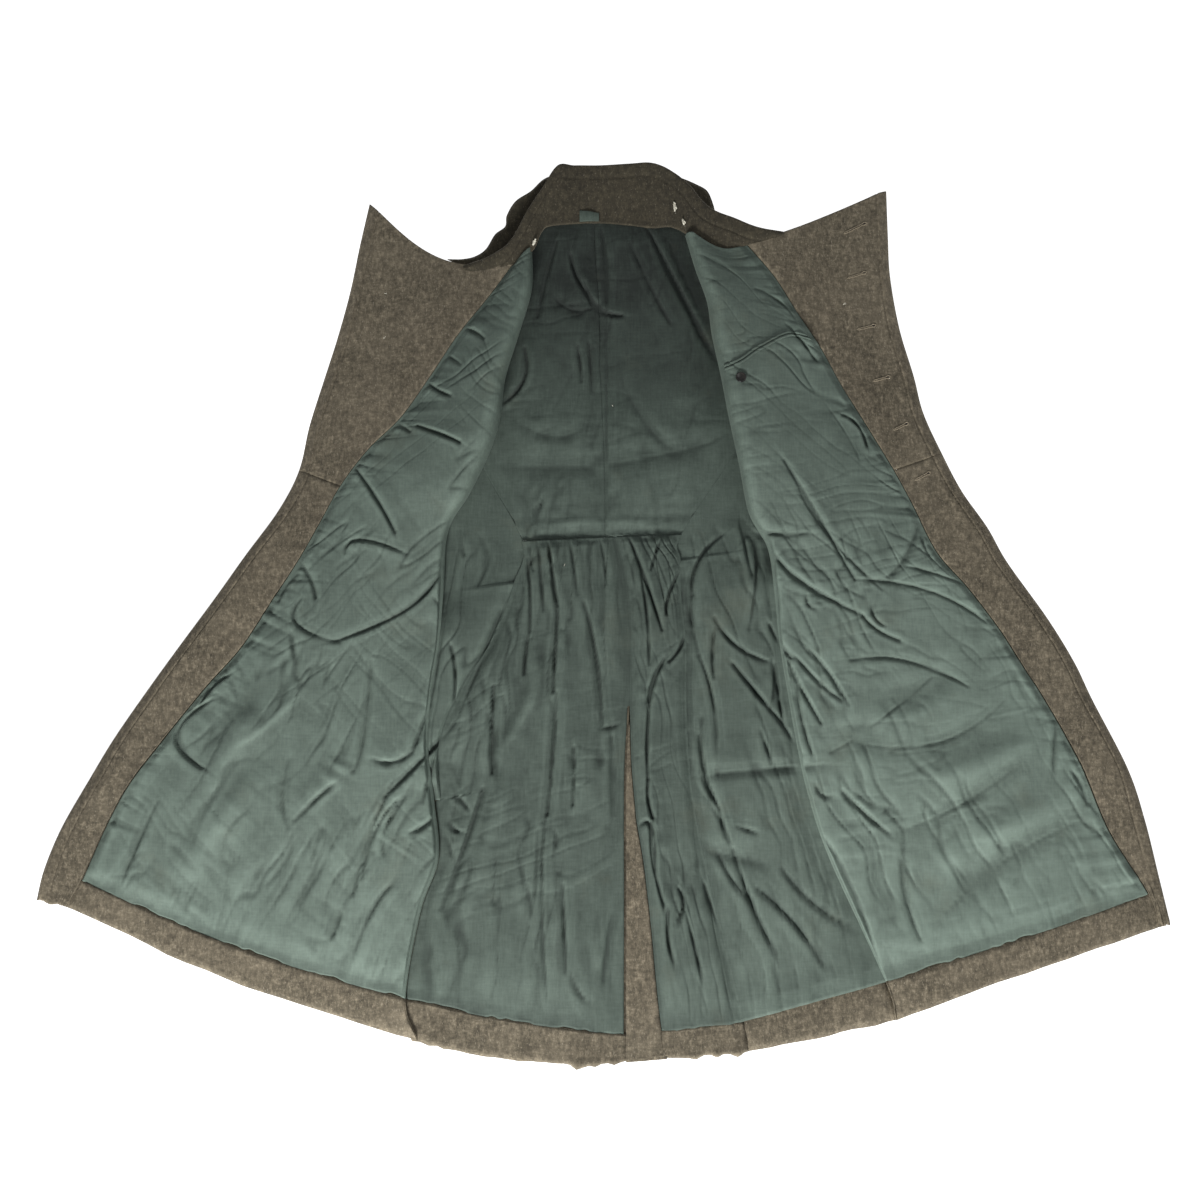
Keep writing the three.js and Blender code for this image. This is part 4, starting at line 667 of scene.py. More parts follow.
def addBackBodice(half, wool, lining):
    side, sign = half["side"], half["sign"]
    row, u = gridOf(steps(0, waistRow, pieceLength["bodice"], 8 * fineness), np.linspace(0, 1, 16))
    shift = np.array([sign * seamLap, 0])
    under = np.stack([sign * 30 * smooth(row - 1.5), 0 * row], -1)  # runs on below the front
    plan = planGrid(centre(row) - shift, backEdge(half, row) + shift + under, u)
    clothPiece(f"shellBackBodice_{side}", withHeight(plan, woolWall), withHeight(plan, 0), wool, "wool")
    rows = steps(0, waistRow, pieceLength["bodice"], innerSpacing)
    row, u = gridOf(rows, np.linspace(0, 1, int(80 / fineness)))
    plan = planGrid(centre(row) - shift / 3, backEdge(half, row) + shift / 3, u)
    x, y = plan[..., 0], plan[..., 1]
    away = u * np.linalg.norm(backEdge(half, row) - centre(row), axis=-1)
    toWaist = (waistRow - row) * rowPitch["back"]
    fullness = 5 * smooth(u * 4) * smooth((0.85 - u) * 3) * smooth((waistRow - row) * 2)
    fold = 0.6 + 1.6 * foldHeight(backFolds, x, y) + 1.8 * looseness(x, y, 9 + sign)
    fold = fold + 0.9 * crinkles(x, y, 80, 70, 20, 12.3) + 0.8 * crinkles(x, y, 10, 60, 22, 14.9)
    full = smooth(row * 1.5) * (fullness + fold * smooth((0.95 - u) * 6))
    seamPuckers = 0.7 * puckers(y, away, 9, 8, 71 + sign) * smooth(away / 2)
    waistPuckers = 1.3 * puckers(x, toWaist, 20, 10, 75) * smooth(toWaist / 2) + 0.7 * bell(toWaist - 9, 5)
    waistPuckers = waistPuckers - 1.3 * bell(toWaist - 17 - 1.5 * noise(x / 40, 6), 1.8)
    low = woolWall + layerGap + np.maximum(0, 0.8 + full + seamPuckers + waistPuckers) - 0.5 * bell(away, 2)
    # Painted shade: a low base tone, darker still towards the neck, under the collar and the fronts' rolls.
    tone = liningToneAndShade(x, y, low, 0.43) - 0.37 * smooth((y - 200) / 240)
    liningPiece(f"liningBackBodice_{side}", plan, low, lining, tone)


def skirtWidths(half, row):
    drop = np.where(row <= waistRow + 1e-6, 0.8, 0.0)
    gap = np.where((half["side"] == "l") & (row > leftSideEndRow), 0, half["sign"] * seamGap)
    first = centre(row) + np.stack([np.full(row.shape, -half["sign"] * seamLap), drop], -1)
    last = backEdge(half, row) + np.stack([gap, -drop], -1)
    return first, last, np.abs(last[..., 0] - first[..., 0])


hemPleats = [  # places of the small pleats along the back's hem, their width and height
    (-208, 5, 5), (-196, 4, 3), (-27, 7, 7), (-8, 5, 4), (20, 5, 4), (120, 6, 4), (146, 5, 4), (172, 7, 6),
    (196, 5, 4),
]


# A shell of the back or side with its turned-up, rippled hem; drawn moves it across the coat.
def hemmedShell(name, half, plan, row, material, pleats=(), drawn=0):
    toHem = (hemRow - row) * rowPitch["backHem"]
    stray, stand = hemRipple(plan[..., 0], toHem, 81 + half["sign"])
    for at, width, height in pleats:
        stand = stand + height * bell(plan[..., 0] - at - 0.12 * toHem, width) * np.exp(-toHem / 40)
        stray = stray - 0.8 * height * bell(plan[..., 0] - at, width) * np.exp(-toHem / 15)
    plan = plan + np.stack([drawn + 0 * row, stray], -1)
    rounded = hemRound(toHem, 0.15)
    rise = np.where(row > liningHemRow, (hemTurnUp + 0.6 * np.abs(stand)) * rounded - 1.5 * (1 - rounded), 0)
    lift = np.maximum(0, stand) * smooth((row - liningHemRow - 0.15) * 4)
    clothPiece(f"{name}_{half['side']}", withHeight(plan, woolWall + rise + lift), withHeight(plan, lift * 0.8),
               material, "wool")


def addBackSkirt(half, wool, lining):
    side, sign = half["side"], half["sign"]
    rows = steps(waistRow, hemRow, pieceLength["skirtShell"], 7 * fineness, turnUpRows)
    row, u = gridOf(rows, np.linspace(0, 1, 34))
    first, last, width = skirtWidths(half, row)
    drawn = -9 * smooth((u - 0.9) * 10) if side == "l" else 0  # under the front's roll, behind the slit
    plan = hemSagged(half, planGrid(first, last, u), row, u)
    hemmedShell("shellBackSkirt", half, plan, row, wool, hemPleats, drawn)
    rows = steps(waistRow, liningHemRow, pieceLength["skirtLining"], 2.3 * fineness)
    row, u = gridOf(rows, np.linspace(0, 1, int(110 / fineness)))
    first, last, width = skirtWidths(half, row)
    share = mix(ventStart(half, row, width), 1, u)
    plan = hemSagged(half, planGrid(first, last, share), row, share)
    toWaist, toHem = (row - waistRow) * rowPitch["back"], (liningHemRow - row) * rowPitch["back"]
    plan[..., 1] += hemStray(plan[..., 0], toHem, 37) * inland(u, 12)
    x, y = plan[..., 0], plan[..., 1]
    outer = mix(3, 0.4, smooth((row - 10.5) / 1.5)) if side == "l" else 3.0
    fade = smooth((row - waistRow) * 3 + 0.3) * smooth((liningHemRow - row) * 2 + 0.15)
    spread = (x - centre(row)[..., 0]) * 130 / (130 + 0.42 * toWaist)
    pleats = (1 - np.clip(np.abs(noise(spread / 9 + 0.2 * noise(y / 60, 3), 5 + y / 260)) * 1.7, 0, 1)) ** 3
    fold = 0.5 + panelFolds(skirtFolds, x, y) + 1.8 * looseness(x, y, 13 + sign)
    fold = fold - 2.6 * pleats * np.exp(-toWaist / 170) + 2.0 * crinkles(x, y, 94 + sign * 6, 90, 15, 15.7)
    fold = fold + 0.9 * crinkles(x, y, 20, 40, 14, 17.7)
    gathers = 2.8 * puckers(x, toWaist, 62, 14, 85) * smooth(toWaist / 6)
    gathers = gathers + 1.2 * puckers(x, toHem, 18, 11, 91) * smooth(toHem / 2)
    sideGathers = 0.8 * puckers(y, (1 - u) * width, 12, 9, 95) * smooth((1 - u) * width / 2)
    full = (5 * inland(u, 5) + fold * inland(u, 8)) * fade + gathers * inland(u, 12) + sideGathers
    low = woolWall + layerGap + np.maximum(0, mix(0.5, outer, u) + full)
    # Painted shade: the lowest base tone, for the back skirt between the fronts.
    liningPiece(f"liningBackSkirt_{side}", plan, low, lining, liningToneAndShade(x, y, low, 0.36))


def addVentFacing(wool):
    half = halves[1]
    rows = steps(ventTopRow + 0.3, hemRow, pieceLength["ventFacing"], ventSpacing)
    row, u = gridOf(rows, np.linspace(0, 1, 12))
    first, last, width = skirtWidths(half, row)
    plan = planGrid(first, last, u * (ventReach(row) - seamGap) / width)
    soft = 0.5 * looseness(plan[..., 0], plan[..., 1], 8) * inland(u, 5) + 0.5 * np.sin(np.pi * u)
    upper, lower = withHeight(plan, 5.3 + soft), withHeight(plan, woolWall + layerGap)
    clothPiece("ventFacing_r", upper, lower, wool, "wool")


def addSide(half, wool, lining):
    side, sign = half["side"], half["sign"]
    shift = np.array([sign * seamGap / 2, 0])
    rows = steps(sideTopRow, half["sideEnd"], pieceLength["side"], shellSpacing)
    row, u = gridOf(rows, np.linspace(0, 1, 14))
    under = np.stack([sign * mix(120, 6, smooth((row - 7.8) / 1.2)), 0 * row], -1)  # runs on below the front
    plan = planGrid(backEdge(half, row) - 3 * shift, sideEdge(half, row) + under, u)
    hemmedShell("shellSide", half, plan, row, wool)
    end = min(liningHemRow, half["sideEnd"])
    rows = steps(sideTopRow, end, (end - sideTopRow) * rowPitch["front"], innerSpacing)
    row, u = gridOf(rows, np.linspace(0, 1, int(72 / fineness)))
    first, last = backEdge(half, row) - shift, sideEdge(half, row) + 6 * shift
    plan = planGrid(first, last, u)
    x, y = plan[..., 0], plan[..., 1]
    width = np.linalg.norm(last - first, axis=-1)
    ends = mix(woolWall + layerGap + np.where(row < sideFootRow, 0.8, 3), jointHeight(half, row), smooth(u))
    fullness = 4.5 * inland(u, 4) * smooth((row - waistRow) / 1.5)
    fade = smooth((row - waistRow) * 3 + 0.3) * smooth((half["sideEnd"] - row) * 2 + 0.15)
    fold = panelFolds(sideFolds, x, y) + 1.5 * looseness(x, y, 17 + sign)
    fold = (fold + 1.8 * crinkles(x, y, 90 + sign * 14, 80, 15, 19.3)) * inland(u, 8)
    seams = sum(0.9 * puckers(y, away, 12, 9, seed) * smooth(away / 2)
                for away, seed in ((u * width, 97), ((1 - u) * width, 99)))
    raised = (fullness + fold) * fade + seams * smooth((row - waistRow) * 4)
    low = np.maximum(woolWall + layerGap, ends + raised)
    # Painted shade: a low base tone for the side panel.
    liningPiece(f"liningSide_{side}", plan, low, lining, liningToneAndShade(x, y, low, 0.44))


# Each sleeve lies flattened under its front: its rows, and how far it stays from the front's edge and roll.
sleeveReach = [(1, 110, 76), (3, 72, 46), (5, 56, 42), (7, 50, 34), (9, 54, 40), (11, 66, 140),
               (12.4, 82, 210)]
sleeveGap = 1.7


def addSleeve(half, material):
    reachRows, fromEdge, fromInner = zip(*sleeveReach)
    rows = steps(reachRows[0], reachRows[-1], pieceLength["sleeve"], sleeveSpacing)
    row, u = gridOf(rows, np.linspace(0, 1, 28))
    edge, seam, inner, _, _, _, rollStart, _ = frontSection(half, row)
    facing, flat = np.linalg.norm(edge - seam, axis=-1), np.linalg.norm(seam - rollStart, axis=-1)
    whole = facing + np.linalg.norm(seam - inner, axis=-1)
    run = mix(np.interp(row, reachRows, fromEdge), whole - np.interp(row, reachRows, fromInner), u)
    across = np.where(run < facing, run / facing, 1 + np.minimum((run - facing) / flat, 1))
    top, bottom = (frontPoint(half, row, across, -woolWall - sleeveGap - wall) for wall in (0, woolWall))
    clothPiece(f"sleeveTop_{half['side']}", top, bottom, material, "wool")
    plan = frontPoint(half, row, across, 0)[..., :2]
    clothPiece(f"sleeveUnder_{half['side']}", withHeight(plan, woolWall), withHeight(plan, 0), material, "wool")


# Collar: its stand rises from the neckline to a fold, and its fall turns down behind it. The stand's rows
# give x and y of the seam and of the fold and their heights, and the fall's its inner and its outer edge.
collarStand = [
    (-186, 452, -186, 456, 22, 22), (-166, 449, -167, 461, 22, 24), (-143, 450, -147, 469, 23, 26),
    (-122, 457, -125, 485, 24, 28), (-107, 466, -111, 508, 25, 29), (-90, 485, -97, 537, 24, 28),
    (-80, 512, -80, 567, 17, 24), (-69, 525, -59, 603, 10, 18), (-35, 529, -35, 606, 7.5, 14),
    (0, 530, 0, 607, 7.5, 13), (39, 527, 39, 609, 7.5, 13), (70, 523, 72, 609, 8.5, 15),
    (93, 522, 101, 592, 14, 20), (104, 516, 123, 570, 20, 26), (115, 508, 135, 551, 24, 29),
    (136, 493, 153, 534, 25, 29), (166, 481, 183, 522, 25, 28), (202, 488, 214, 510, 24, 26),
    (251, 502, 251, 504, 22, 23),
]
collarFall = [
    (-184, 462, -210, 476), (-172, 462, -190, 476), (-158, 465, -172, 480), (-140, 475, -157, 491),
    (-128, 490, -145, 512), (-118, 505, -131, 524), (-112, 520, -129, 540), (-104, 540, -117, 561),
    (-92, 552, -96, 576), (-70, 558, -74, 596), (-36, 560, -36, 604), (0, 560, 0, 606), (40, 558, 42, 607),
    (76, 558, 84, 605), (100, 556, 112, 596), (118, 552, 134, 586), (130, 545, 149, 576),
    (138, 538, 157, 556), (140, 530, 160, 540),
]
collarLook = {"wall": 4.0, "stitchInset": 16.0}


def collarPoint(row, across, lift):
    seam, fold = placeAt(collarStand, row), placeAt(collarStand, row, 2)
    seamZ, foldZ = column(collarStand, 4, row), column(collarStand, 5, row)
    flat = np.clip(across, 0, 1)
    outward = (fold - seam) / np.linalg.norm(fold - seam, axis=-1, keepdims=True)
    height = mix(seamZ, foldZ, smooth(flat))
    radius = np.clip((foldZ - 5) / 2, 2.2, 11.5) + lift
    angle = np.pi * 0.92 * np.clip(across - 1, 0, 1)
    reach = np.where(across > 1, np.clip(radius, 0.5, 6.5 + lift) * np.sin(angle) * 0.8, 0)
    plan = mix(seam, fold, mix(-0.04, 1, flat)[..., None]) + outward * reach[..., None]
    level = height + 0.8 * np.sin(np.pi * flat) + lift
    turned = height - (radius - lift) + np.maximum(0.5, radius) * np.cos(angle)
    return withHeight(plan, np.where(across > 1, turned, level))


def addCollar(material):
    across = np.concatenate([np.linspace(0, 1, int(40 / fineness)), np.linspace(1, 2, 12)[1:]])
    row, share = gridOf(steps(0, len(collarStand) - 1, pieceLength["collarStand"], standSpacing), across)
    plan = 1.3 * collarPoint(row, share, 0)
    length = np.linalg.norm(placeAt(collarStand, row, 2) - placeAt(collarStand, row), axis=-1)
    run = np.clip(share, 0, 1) * length
    stitches = 1.1 * bell(length - run - collarLook["stitchInset"], 1.7) * smooth(length / 30)
    relief = 0.8 * looseness(plan[..., 0], plan[..., 1], 23) * smooth(run / 8) - stitches
    relief = relief + 0.7 * puckers(row * 28, run, 10, 9, 101) * smooth(run / 2)
    top, bottom = collarPoint(row, share, relief + 0.4), collarPoint(row, share, -collarLook["wall"])
    bottom[..., 2] = np.where(share > 1, bottom[..., 2], np.minimum(bottom[..., 2], top[..., 2] - 0.5))
    clothPiece("collarStand", top, bottom, material, "collar_wool")
    rows = steps(0, len(collarFall) - 1, pieceLength["collarFall"], fallSpacing)
    row, share = gridOf(rows, np.linspace(0, 1, int(26 / fineness)))
    inner, outer = placeAt(collarFall, row), placeAt(collarFall, row, 2)
    plan = planGrid(inner, outer, share)
    edge = (1 - share) * np.linalg.norm(outer - inner, axis=-1)
    height = mix(2.2, collarLook["wall"] + 0.8, smooth(edge / 5))
    height = height + 0.3 * looseness(plan[..., 0], plan[..., 1], 3)
    clothPiece("collarFall", withHeight(plan, height), withHeight(plan, 0), material, "collar_wool")


# Materials, all in object coordinates.
class Shader:
    def __init__(self, name, roughness, sheen=0.0, sheenRoughness=0.5, sheenTint=(1, 1, 1, 1)):
        self.material = bpy.data.materials.new(name)
        self.material.use_nodes = True
        self.nodes, self.links = self.material.node_tree.nodes, self.material.node_tree.links
        self.surface = self.nodes["Principled BSDF"]
        self.surface.inputs["Roughness"].default_value = roughness
        self.surface.inputs["Sheen Weight"].default_value = sheen
        self.surface.inputs["Sheen Roughness"].default_value = sheenRoughness
        self.surface.inputs["Sheen Tint"].default_value = sheenTint
        self.place = self.nodes.new("ShaderNodeTexCoord").outputs["Object"]

    # A new node, each of its inputs set to a value or linked to a socket.
    def node(self, kind, inputs):
        node = self.nodes.new("ShaderNode" + kind)
        for name, value in inputs.items():
            self.join(value, node.inputs[name])
        return node

    def join(self, value, target):
        if isinstance(value, bpy.types.NodeSocket):
            self.links.new(value, target)
        else:
            target.default_value = value

    def stretched(self, scale, turn=0.0):
        inputs = {"Vector": self.place, "Scale": scale, "Rotation": (0, 0, turn)}
        return self.node("Mapping", inputs).outputs["Vector"]

    def noise(self, scale, detail=3.0, roughness=0.55, vector=None):
        inputs = {"Vector": vector or self.place, "Scale": scale, "Detail": detail, "Roughness": roughness}
        return self.node("TexNoise", inputs).outputs["Fac"]

    def threads(self, scale, direction):
        inputs = {"Vector": self.place, "Scale": scale, "Distortion": 1.2, "Detail": 2, "Detail Scale": 2}
        node = self.node("TexWave", inputs)
        node.bands_direction = direction
        return node.outputs["Fac"]

    def span(self, socket, low, high, toLow=0.0, toHigh=1.0):
        inputs = {"Value": socket, "From Min": low, "From Max": high, "To Min": toLow, "To Max": toHigh}
        return self.node("MapRange", inputs).outputs["Result"]

    def math(self, kind, a, b):
        node = self.node("Math", {0: a, 1: b})
        node.operation = kind
        return node.outputs[0]

    def sum(self, a, b):
        return self.math("ADD", a, b)

    def times(self, a, b):
        return self.math("MULTIPLY", a, b)

    def blend(self, share, first, second):
        node = self.nodes.new("ShaderNodeMix")
        node.data_type = "RGBA"
        for value, target in ((share, node.inputs[0]), (first, node.inputs[6]), (second, node.inputs[7])):
            self.join(value, target)
        return node.outputs[2]

    def ramp(self, share, stops):
        node = self.node("ValToRGB", {0: share})
        elements = node.color_ramp.elements
        while len(elements) < len(stops):
            elements.new(0.5)
        for element, (position, colour) in zip(elements, stops):
            element.position, element.color = position, colour
        return node.outputs[0]

    def attribute(self, name):
        node = self.nodes.new("ShaderNodeAttribute")
        node.attribute_name = name
        return node.outputs["Fac"]

    def finish(self, colour, height=None, strength=0.5, distance=0.0005):
        self.links.new(colour, self.surface.inputs["Base Color"])
        if height is not None:
            bump = self.node("Bump", {"Strength": strength, "Distance": distance, "Height": height})
            self.links.new(bump.outputs["Normal"], self.surface.inputs["Normal"])
        return self.material


def linear(*sRGB):
    return (*(((c / 255 + 0.055) / 1.055) ** 2.4 if c > 10 else c / 255 / 12.92 for c in sRGB), 1)


def woolMaterial(name, deep, middle, pale, fleck):
    shader = Shader(name, 0.95, 0.18, 0.55, linear(190, 175, 150))
    heather = shader.noise(260, 6, 0.75, shader.stretched((1, 0.4, 1), 0.5))
    crossed = shader.noise(300, 5, 0.75, shader.stretched((0.4, 1, 1), -0.4))
    felted = shader.sum(shader.times(heather, 0.6), shader.times(crossed, 0.4))
    colour = shader.ramp(felted, [(0.35, deep), (0.5, middle), (0.66, pale)])
    worn = shader.span(shader.noise(14, 4, 0.6), 0.38, 0.66)
    colour = shader.blend(shader.times(worn, 0.22), colour, pale)
    mottled = shader.span(shader.noise(95, 3, 0.6), 0.4, 0.62)
    colour = shader.blend(shader.times(mottled, 0.36), colour, deep)
    specks = shader.span(shader.noise(800, 2, 0.5, shader.stretched((1, 0.35, 1), 0.9)), 0.64, 0.7)
    colour = shader.blend(shader.times(specks, 0.35), colour, fleck)
    height = shader.sum(felted, shader.times(shader.noise(210, 4, 0.6), 0.9))
    return shader.finish(colour, height, 0.75, 0.0008)


def liningMaterial():
    shader = Shader("greenCottonLining", 0.78, 0.08, 0.4, linear(200, 215, 205))
    blotch = shader.span(shader.noise(38, 4, 0.6), 0.3, 0.7, -0.05, 0.05)
    slub = shader.span(shader.noise(420, 3, 0.6, shader.stretched((1, 0.12, 1))), 0.3, 0.7, -0.05, 0.05)
    cross = shader.span(shader.noise(420, 3, 0.6, shader.stretched((0.12, 1, 1))), 0.3, 0.7, -0.04, 0.04)
    # The tone attribute, with its painted light and shade, picks the colour from shaded dark green to lit sage.
    share = shader.sum(shader.sum(shader.attribute("tone"), blotch), shader.sum(slub, cross))
    colour = shader.ramp(share, [(0.0, linear(35, 42, 37)), (0.35, linear(64, 75, 67)),
                                 (0.65, linear(92, 105, 95)), (1.0, linear(121, 137, 125))])
    stain = shader.span(shader.noise(9, 5, 0.65), 0.58, 0.72)
    colour = shader.blend(shader.times(stain, 0.22), colour, linear(96, 96, 78))
    weave = shader.sum(shader.threads(700, "X"), shader.threads(700, "Y"))
    height = shader.sum(shader.times(weave, 0.12), shader.noise(120, 4, 0.6))
    return shader.finish(colour, height, 0.5, 0.0012)


def hornMaterial():
    shader = Shader("darkHorn", 0.2)
    mottle = shader.span(shader.noise(160, 4, 0.6), 0.35, 0.65)
    colour = shader.blend(mottle, linear(20, 20, 19), linear(42, 39, 35))
    return shader.finish(colour, shader.noise(900, 2), 0.15, 0.0002)


def threadMaterial(name, dark, light):
    shader = Shader(name, 0.8, 0.15)
    twist = shader.span(shader.noise(1400, 2), 0.4, 0.6)
    return shader.finish(shader.blend(twist, dark, light), shader.noise(1500, 2), 0.5, 0.0003)


def floorMaterial():
    shader = Shader("whitePaper", 0.9)
    shader.surface.inputs["Emission Color"].default_value = (1, 1, 1, 1)
    shader.surface.inputs["Emission Strength"].default_value = 0.85
    grain = shader.span(shader.noise(30, 3), 0.3, 0.7)
    return shader.finish(shader.blend(grain, linear(240, 240, 240), linear(244, 244, 243)))


# A button's profile from its back to its dish, as shares of its radius and height.
buttonShape = [(0.001, 0), (0.8, 0), (0.93, 0.18), (1, 0.5), (0.97, 0.85), (0.88, 1), (0.78, 0.95),
               (0.68, 0.72), (0.5, 0.62), (0.001, 0.6)]


# Quads between rings of points that each close on themselves.
def ringFaces(rings, around):
    index = np.arange(rings * around).reshape(rings, around)
    following = np.roll(index, -1, 1)
    return np.stack([index[:-1], following[:-1], following[1:], index[1:]], -1).reshape(-1, 4)


# A button turned about a place; flipped, its dish looks down.
def turnedButton(name, radius, height, place, flip, horn, node):
    around = int(48 / fineness)
    angle = np.linspace(0, 2 * np.pi, around, endpoint=False)
    rise = -height if flip else height
    points = [[place[0] + r * radius * math.cos(a), place[1] + r * radius * math.sin(a), place[2] + z * rise]
              for r, z in buttonShape for a in angle]
    faces = ringFaces(len(buttonShape), around)
    piece = meshObject(name, np.array(points) - planCentre, faces[:, ::-1] if flip else faces)
    dress(piece, horn, node)


# A tube of round thread along a line of places.
def threadPiece(name, line, radius, material):
    sides = 5
    ahead = np.gradient(line, axis=0)
    ahead /= np.linalg.norm(ahead, axis=1, keepdims=True) + 1e-9
    beside = np.cross(ahead, [0, 0, 1])
    beside /= np.linalg.norm(beside, axis=1, keepdims=True) + 1e-9
    above = np.cross(beside, ahead)
    angle = np.linspace(0, 2 * np.pi, sides, endpoint=False)[:, None]
    ring = line[:, None] + radius * (beside[:, None] * np.cos(angle) + above[:, None] * np.sin(angle))
    dress(meshObject(name, ring.reshape(-1, 3) - planCentre, ringFaces(len(line), sides)), material)


buttonLook = {"radius": 11.5, "height": 4.4, "inset": 38.0, "pocketRadius": 7.0, "pocketHeight": 3.2}
# Row of each fastening button, and its gap under the wool.
buttonSeats = [(0.85, 0.2), (1.85, 0.25), (2.95, 0.4), (4.05, 0.6), (5.15, 1.2), (6.2, 1.6)]
def addButtons(horn):
    half = halves[0]
    for k, (row, gap) in enumerate(buttonSeats):
        edge, seam = frontSection(half, np.array(row))[:2]
        across = np.array(buttonLook["inset"] / np.linalg.norm(edge - seam))
        place = frontPoint(half, np.array(row), across, -woolWall - gap)
        turnedButton(f"button_{k + 1}_horn", buttonLook["radius"], buttonLook["height"], place, True, horn,
                     f"button_{k + 1}")


# Row and share across that meet a place on a front's facing or lining.
def placeOnFront(half, x, y):
    rows, across = gridOf(np.linspace(0, 15, 301), np.linspace(0, 2, 201))
    plan = frontPoint(half, rows, across, np.zeros(rows.shape))
    best = np.argmin((plan[..., 0] - x) ** 2 + (plan[..., 1] - y) ** 2)
    return rows.ravel()[best], across.ravel()[best]


def topHeight(half, x, y):
    row, across = placeOnFront(half, x, y)
    row, across = np.array(row), np.array(across)
    if across < 1:
        return frontPoint(half, row, across, facingTop(half, row, across))[2]
    return frontPoint(half, row, across, frontLiningLift(half, row, across) + liningWall)[2]


# Keyhole buttonholes: the sunk slit as a dark sheet of painted shade, with a rim of close stitches round it.
def addButtonholes(thread, slit):
    around, stitchWidth = 160, 1.7
    turn = np.linspace(0, 2 * np.pi, around, endpoint=False)
    stitch = np.arange(0, around, 0.25)
    phase = stitch * 2 * np.pi / stitchWidth
    reach = 0.9 * (0.75 + 0.75 * np.sin(phase))[:, None]
    for k, hole in enumerate(buttonholes):
        first, last = np.array(hole["from"], float), np.array(hole["to"], float)
        length = np.linalg.norm(last - first)
        ahead = (last - first) / length
        beside = np.array([-ahead[1], ahead[0]])
        heights = [topHeight(halves[1], *mix(first, last, t)) for t in (0, 0.5, 1)]
        along = length / 2 * (1 - np.cos(turn))
        eye = 1.3 * bell(along - length + 2.0, 2.0)
        wide = np.sign(np.sin(turn)) * np.abs(np.sin(turn)) ** 0.35 * (hole["gape"] * 0.28 + eye)
        outline = withHeight(first + ahead * along[:, None] + beside * wide[:, None],
                             np.interp(along, [0, length / 2, length], heights))
        closed = np.concatenate([outline, outline[:1]])
        rim = np.stack([np.interp(stitch, np.arange(around + 1), closed[:, i]) for i in range(3)], -1)
        sideways = np.sign(np.interp(stitch, np.arange(around), wide) + 1e-9)[:, None]
        fromMiddle = (np.interp(stitch, np.arange(around), along) - length / 2)[:, None]
        ends = np.clip((np.abs(fromMiddle) - length / 2 + 1.2) / 1.2, 0, 1)
        away = beside * sideways * (1 - ends) + ahead * np.sign(fromMiddle) * ends
        line = rim + withHeight(away * reach, 0.25 + 0.3 * np.cos(phase))
        threadPiece(f"buttonholeThread_{k + 1}", line, 0.3, thread)
        # The slit: a dark fan just above the facing, the painted shade of the opening.
        floor = np.concatenate([outline, [[*mix(first, last, 0.5), heights[1]]]]) + [0, 0, 0.2]
        faces = np.array([[i, (i + 1) % around, around] for i in range(around)])
        dress(meshObject(f"buttonholeSlit_{k + 1}", floor - planCentre, faces), slit)


pocketMouth = [(3.93, 2.25), (3.81, 1.99), (3.35, 1.71), (2.8, 1.31), (2.82, 1.06)]  # row and share across
pocketLook = {"lip": 0.075, "depth": 2.0}
pocketSeat = {"row": 4.16, "across": 1.97}
hangerRows = (8.2, 8.96)


def addPocket(lining, horn):
    half, last = halves[1], len(pocketMouth) - 1
    for name, side in (("Upper", -1), ("Lower", 1)):
        t, u = gridOf(np.linspace(0, 1, int(130 / fineness)), np.linspace(0, 1, 14))
        row = column(pocketMouth, 0, last * t) + side * mix(0.008, pocketLook["lip"], u)
        across = column(pocketMouth, 1, last * t)
        base = frontLiningLift(half, row, across) + liningWall + layerGap
        rounded = 1 - (1 - np.sin(np.pi * np.clip(u, 0.02, 0.98))) ** 2
        ends = smooth(t * 30 + 0.2) * smooth((1 - t) * 30 + 0.2)
        lift = base + pocketLook["depth"] * (0.25 + 0.75 * rounded) * ends
        upper = frontPoint(half, row, across, lift)
        # Painted light: a base tone close to the front's.
        tone = liningToneAndShade(upper[..., 0], upper[..., 1], lift, 0.55)
        clothPiece(f"pocketJet{name}", upper, frontPoint(half, row, across, base), lining, "lining", tone)
    row, across = np.array(pocketSeat["row"]), np.array(pocketSeat["across"])
    place = frontPoint(half, row, across, frontLiningLift(half, row, across) + liningWall + layerGap + 0.1)
    turnedButton("pocketButtonHorn", buttonLook["pocketRadius"], buttonLook["pocketHeight"], place, False, horn,
                 "pocket_button")


def addHangerLoop(lining):
    start, end = hangerRows
    row, u = gridOf(np.linspace(start, end, int(40 / fineness)), np.linspace(0, 1, 16))
    across = mix(0.02, 0.22 - 0.07 * (row - start), u)
    upper = collarPoint(row, across, layerGap + 1.4 + 1.2 * np.sin(np.pi * u) + 0.7 * np.sin(9 * row))
    lower = collarPoint(row, across, layerGap)
    clothPiece("hangerLoop", upper, lower, lining, "lining", np.full(row.shape, 0.45))


# Torn bits of pale interlining at the neck's seams, and lint on the cloth: x, y, z, and a bit's length and
# direction.
tufts = [(-88, 494, 27, 9, 250), (101, 551, 20, 17, 282), (112, 523, 25, 13, 300)]
lintPlaces = [(-289, 353, 27), (16, 264, 9), (-48, 45, 12), (238, 262, 34), (-290, 415, 27), (330, 402, 26)]


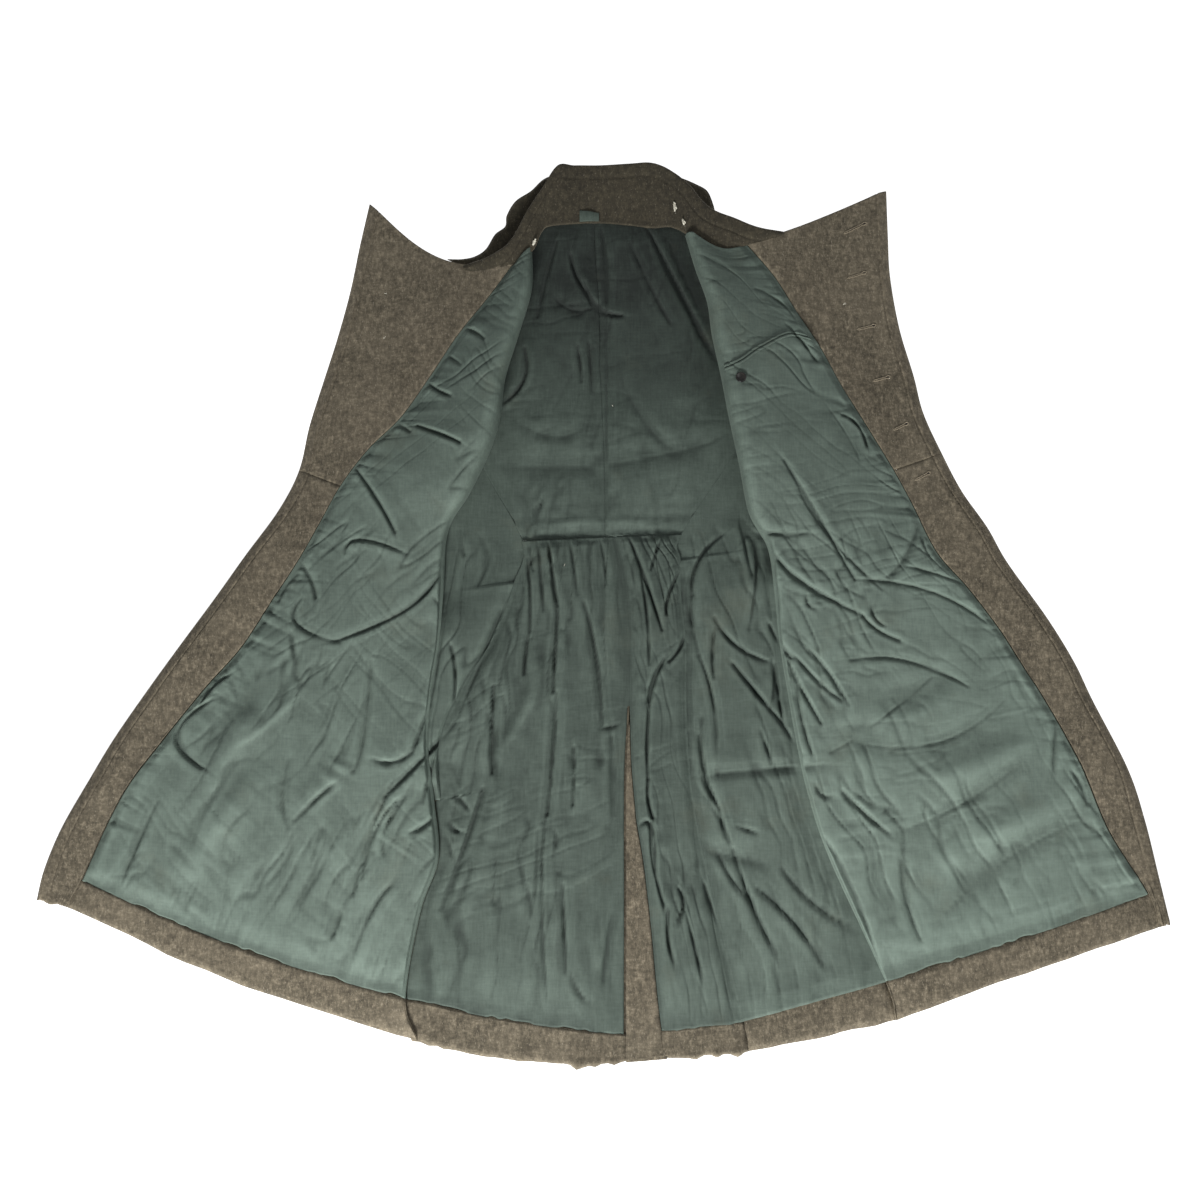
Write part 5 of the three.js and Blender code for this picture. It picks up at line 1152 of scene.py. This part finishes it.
def addTufts(material):
    for k, (x, y, z, length, direction) in enumerate(tufts):
        ahead = np.array([math.cos(math.radians(direction)), math.sin(math.radians(direction))])
        beside = np.array([-ahead[1], ahead[0]])
        t, u = gridOf(np.linspace(0, 1, 30), np.linspace(-1, 1, 9))
        ragged = 0.5 + 0.5 * np.abs(noise(t * 9 + k, u * 0 + 3))
        ragged = ragged * np.sin(np.pi * np.clip(t, 0.04, 0.96)) ** 0.4
        run = t * length + 0.8 * noise(t * 7, u * 3 + k)
        side = 2.3 * u * ragged + 0.9 * noise(t * 5 + k, u * 2)
        plan = np.array([x, y]) + ahead * run[..., None] + beside * side[..., None]
        height = z + 1.6 + 1.3 * noise(t * 6 + k, u * 2 + 5) - 3 * t
        clothPiece(f"tuft_{k + 1}", withHeight(plan, height + 0.5), withHeight(plan, height), material, None)
    for k, (x, y, z) in enumerate(lintPlaces):
        t = np.linspace(0, 1, 14)
        curlX, curlY = (2.5 * noise(t * 2 + k, k + shift) for shift in (0.3, 7.3))
        line = np.stack([x + curlX, y + curlY, z + 1.5 + 0 * t], -1)
        threadPiece(f"lint_{k + 1}", line, 0.28, material)


# Pale floor and soft daylight from the hem's side and the left.
floorName = "paperFloor"


def addStage(paper):
    bpy.ops.mesh.primitive_plane_add(size=6, location=(0, 0, 0))
    floor = bpy.context.object
    floor.name = floorName
    floor.data.materials.append(paper)
    world = bpy.context.scene.world or bpy.data.worlds.new("studio")
    bpy.context.scene.world = world
    bpy.context.scene.view_settings.view_transform = "Standard"
    world.use_nodes = True
    sky = world.node_tree.nodes["Background"]
    sky.inputs["Color"].default_value = (0.93, 0.96, 1, 1)
    sky.inputs["Strength"].default_value = 0.28
    lamps = {"window": ((-0.55, -2.5, 1.15), 0.7, 106), "fill": ((1.4, 0.2, 1.7), 1.6, 8)}
    for name, (place, size, power) in lamps.items():
        lamp = bpy.data.lights.new(name, "AREA")
        lamp.size, lamp.energy = size, power
        holder = bpy.data.objects.new(name, lamp)
        bpy.context.collection.objects.link(holder)
        holder.location = place
        tilt = math.atan2(math.hypot(place[0], place[1]), place[2])
        holder.rotation_euler = (tilt, 0, math.atan2(-place[1], -place[0]) - math.pi / 2)


wool = woolMaterial("brownWool", linear(50, 45, 35), linear(99, 91, 75), linear(151, 139, 118),
                    linear(190, 179, 158))
# The collar's wool: a darker copy of the coat's wool, partly its own darker cloth and partly painted shade at
# the neck.
shadedCollarWool = woolMaterial("collarWool", linear(31, 28, 20), linear(58, 53, 40), linear(86, 79, 62),
                        linear(150, 141, 122))
lining = liningMaterial()
horn = hornMaterial()
paleThread = threadMaterial("paleThread", linear(120, 108, 88), linear(160, 148, 126))
# A near-black material for the buttonholes' slits: painted shade.
slitShadeSheet = threadMaterial("slitShade", linear(24, 20, 16), linear(40, 34, 28))

for half in halves:
    addFrontShell(half, wool)
    addFacing(half, wool)
    addFrontLining(half, lining)
    print("front", half["side"])
    addBackBodice(half, wool, lining)
    addBackSkirt(half, wool, lining)
    if half["side"] == "r":
        addVentFacing(wool)
    addSide(half, wool, lining)
    addSleeve(half, wool)
    print("back, side and sleeve", half["side"])
addCollar(shadedCollarWool)
addButtons(horn)
addButtonholes(paleThread, slitShadeSheet)
addPocket(lining, horn)
addHangerLoop(lining)
addTufts(threadMaterial("palePadding", linear(196, 190, 170), linear(232, 228, 212)))
print("collar, fastenings and pocket")
addStage(floorMaterial())
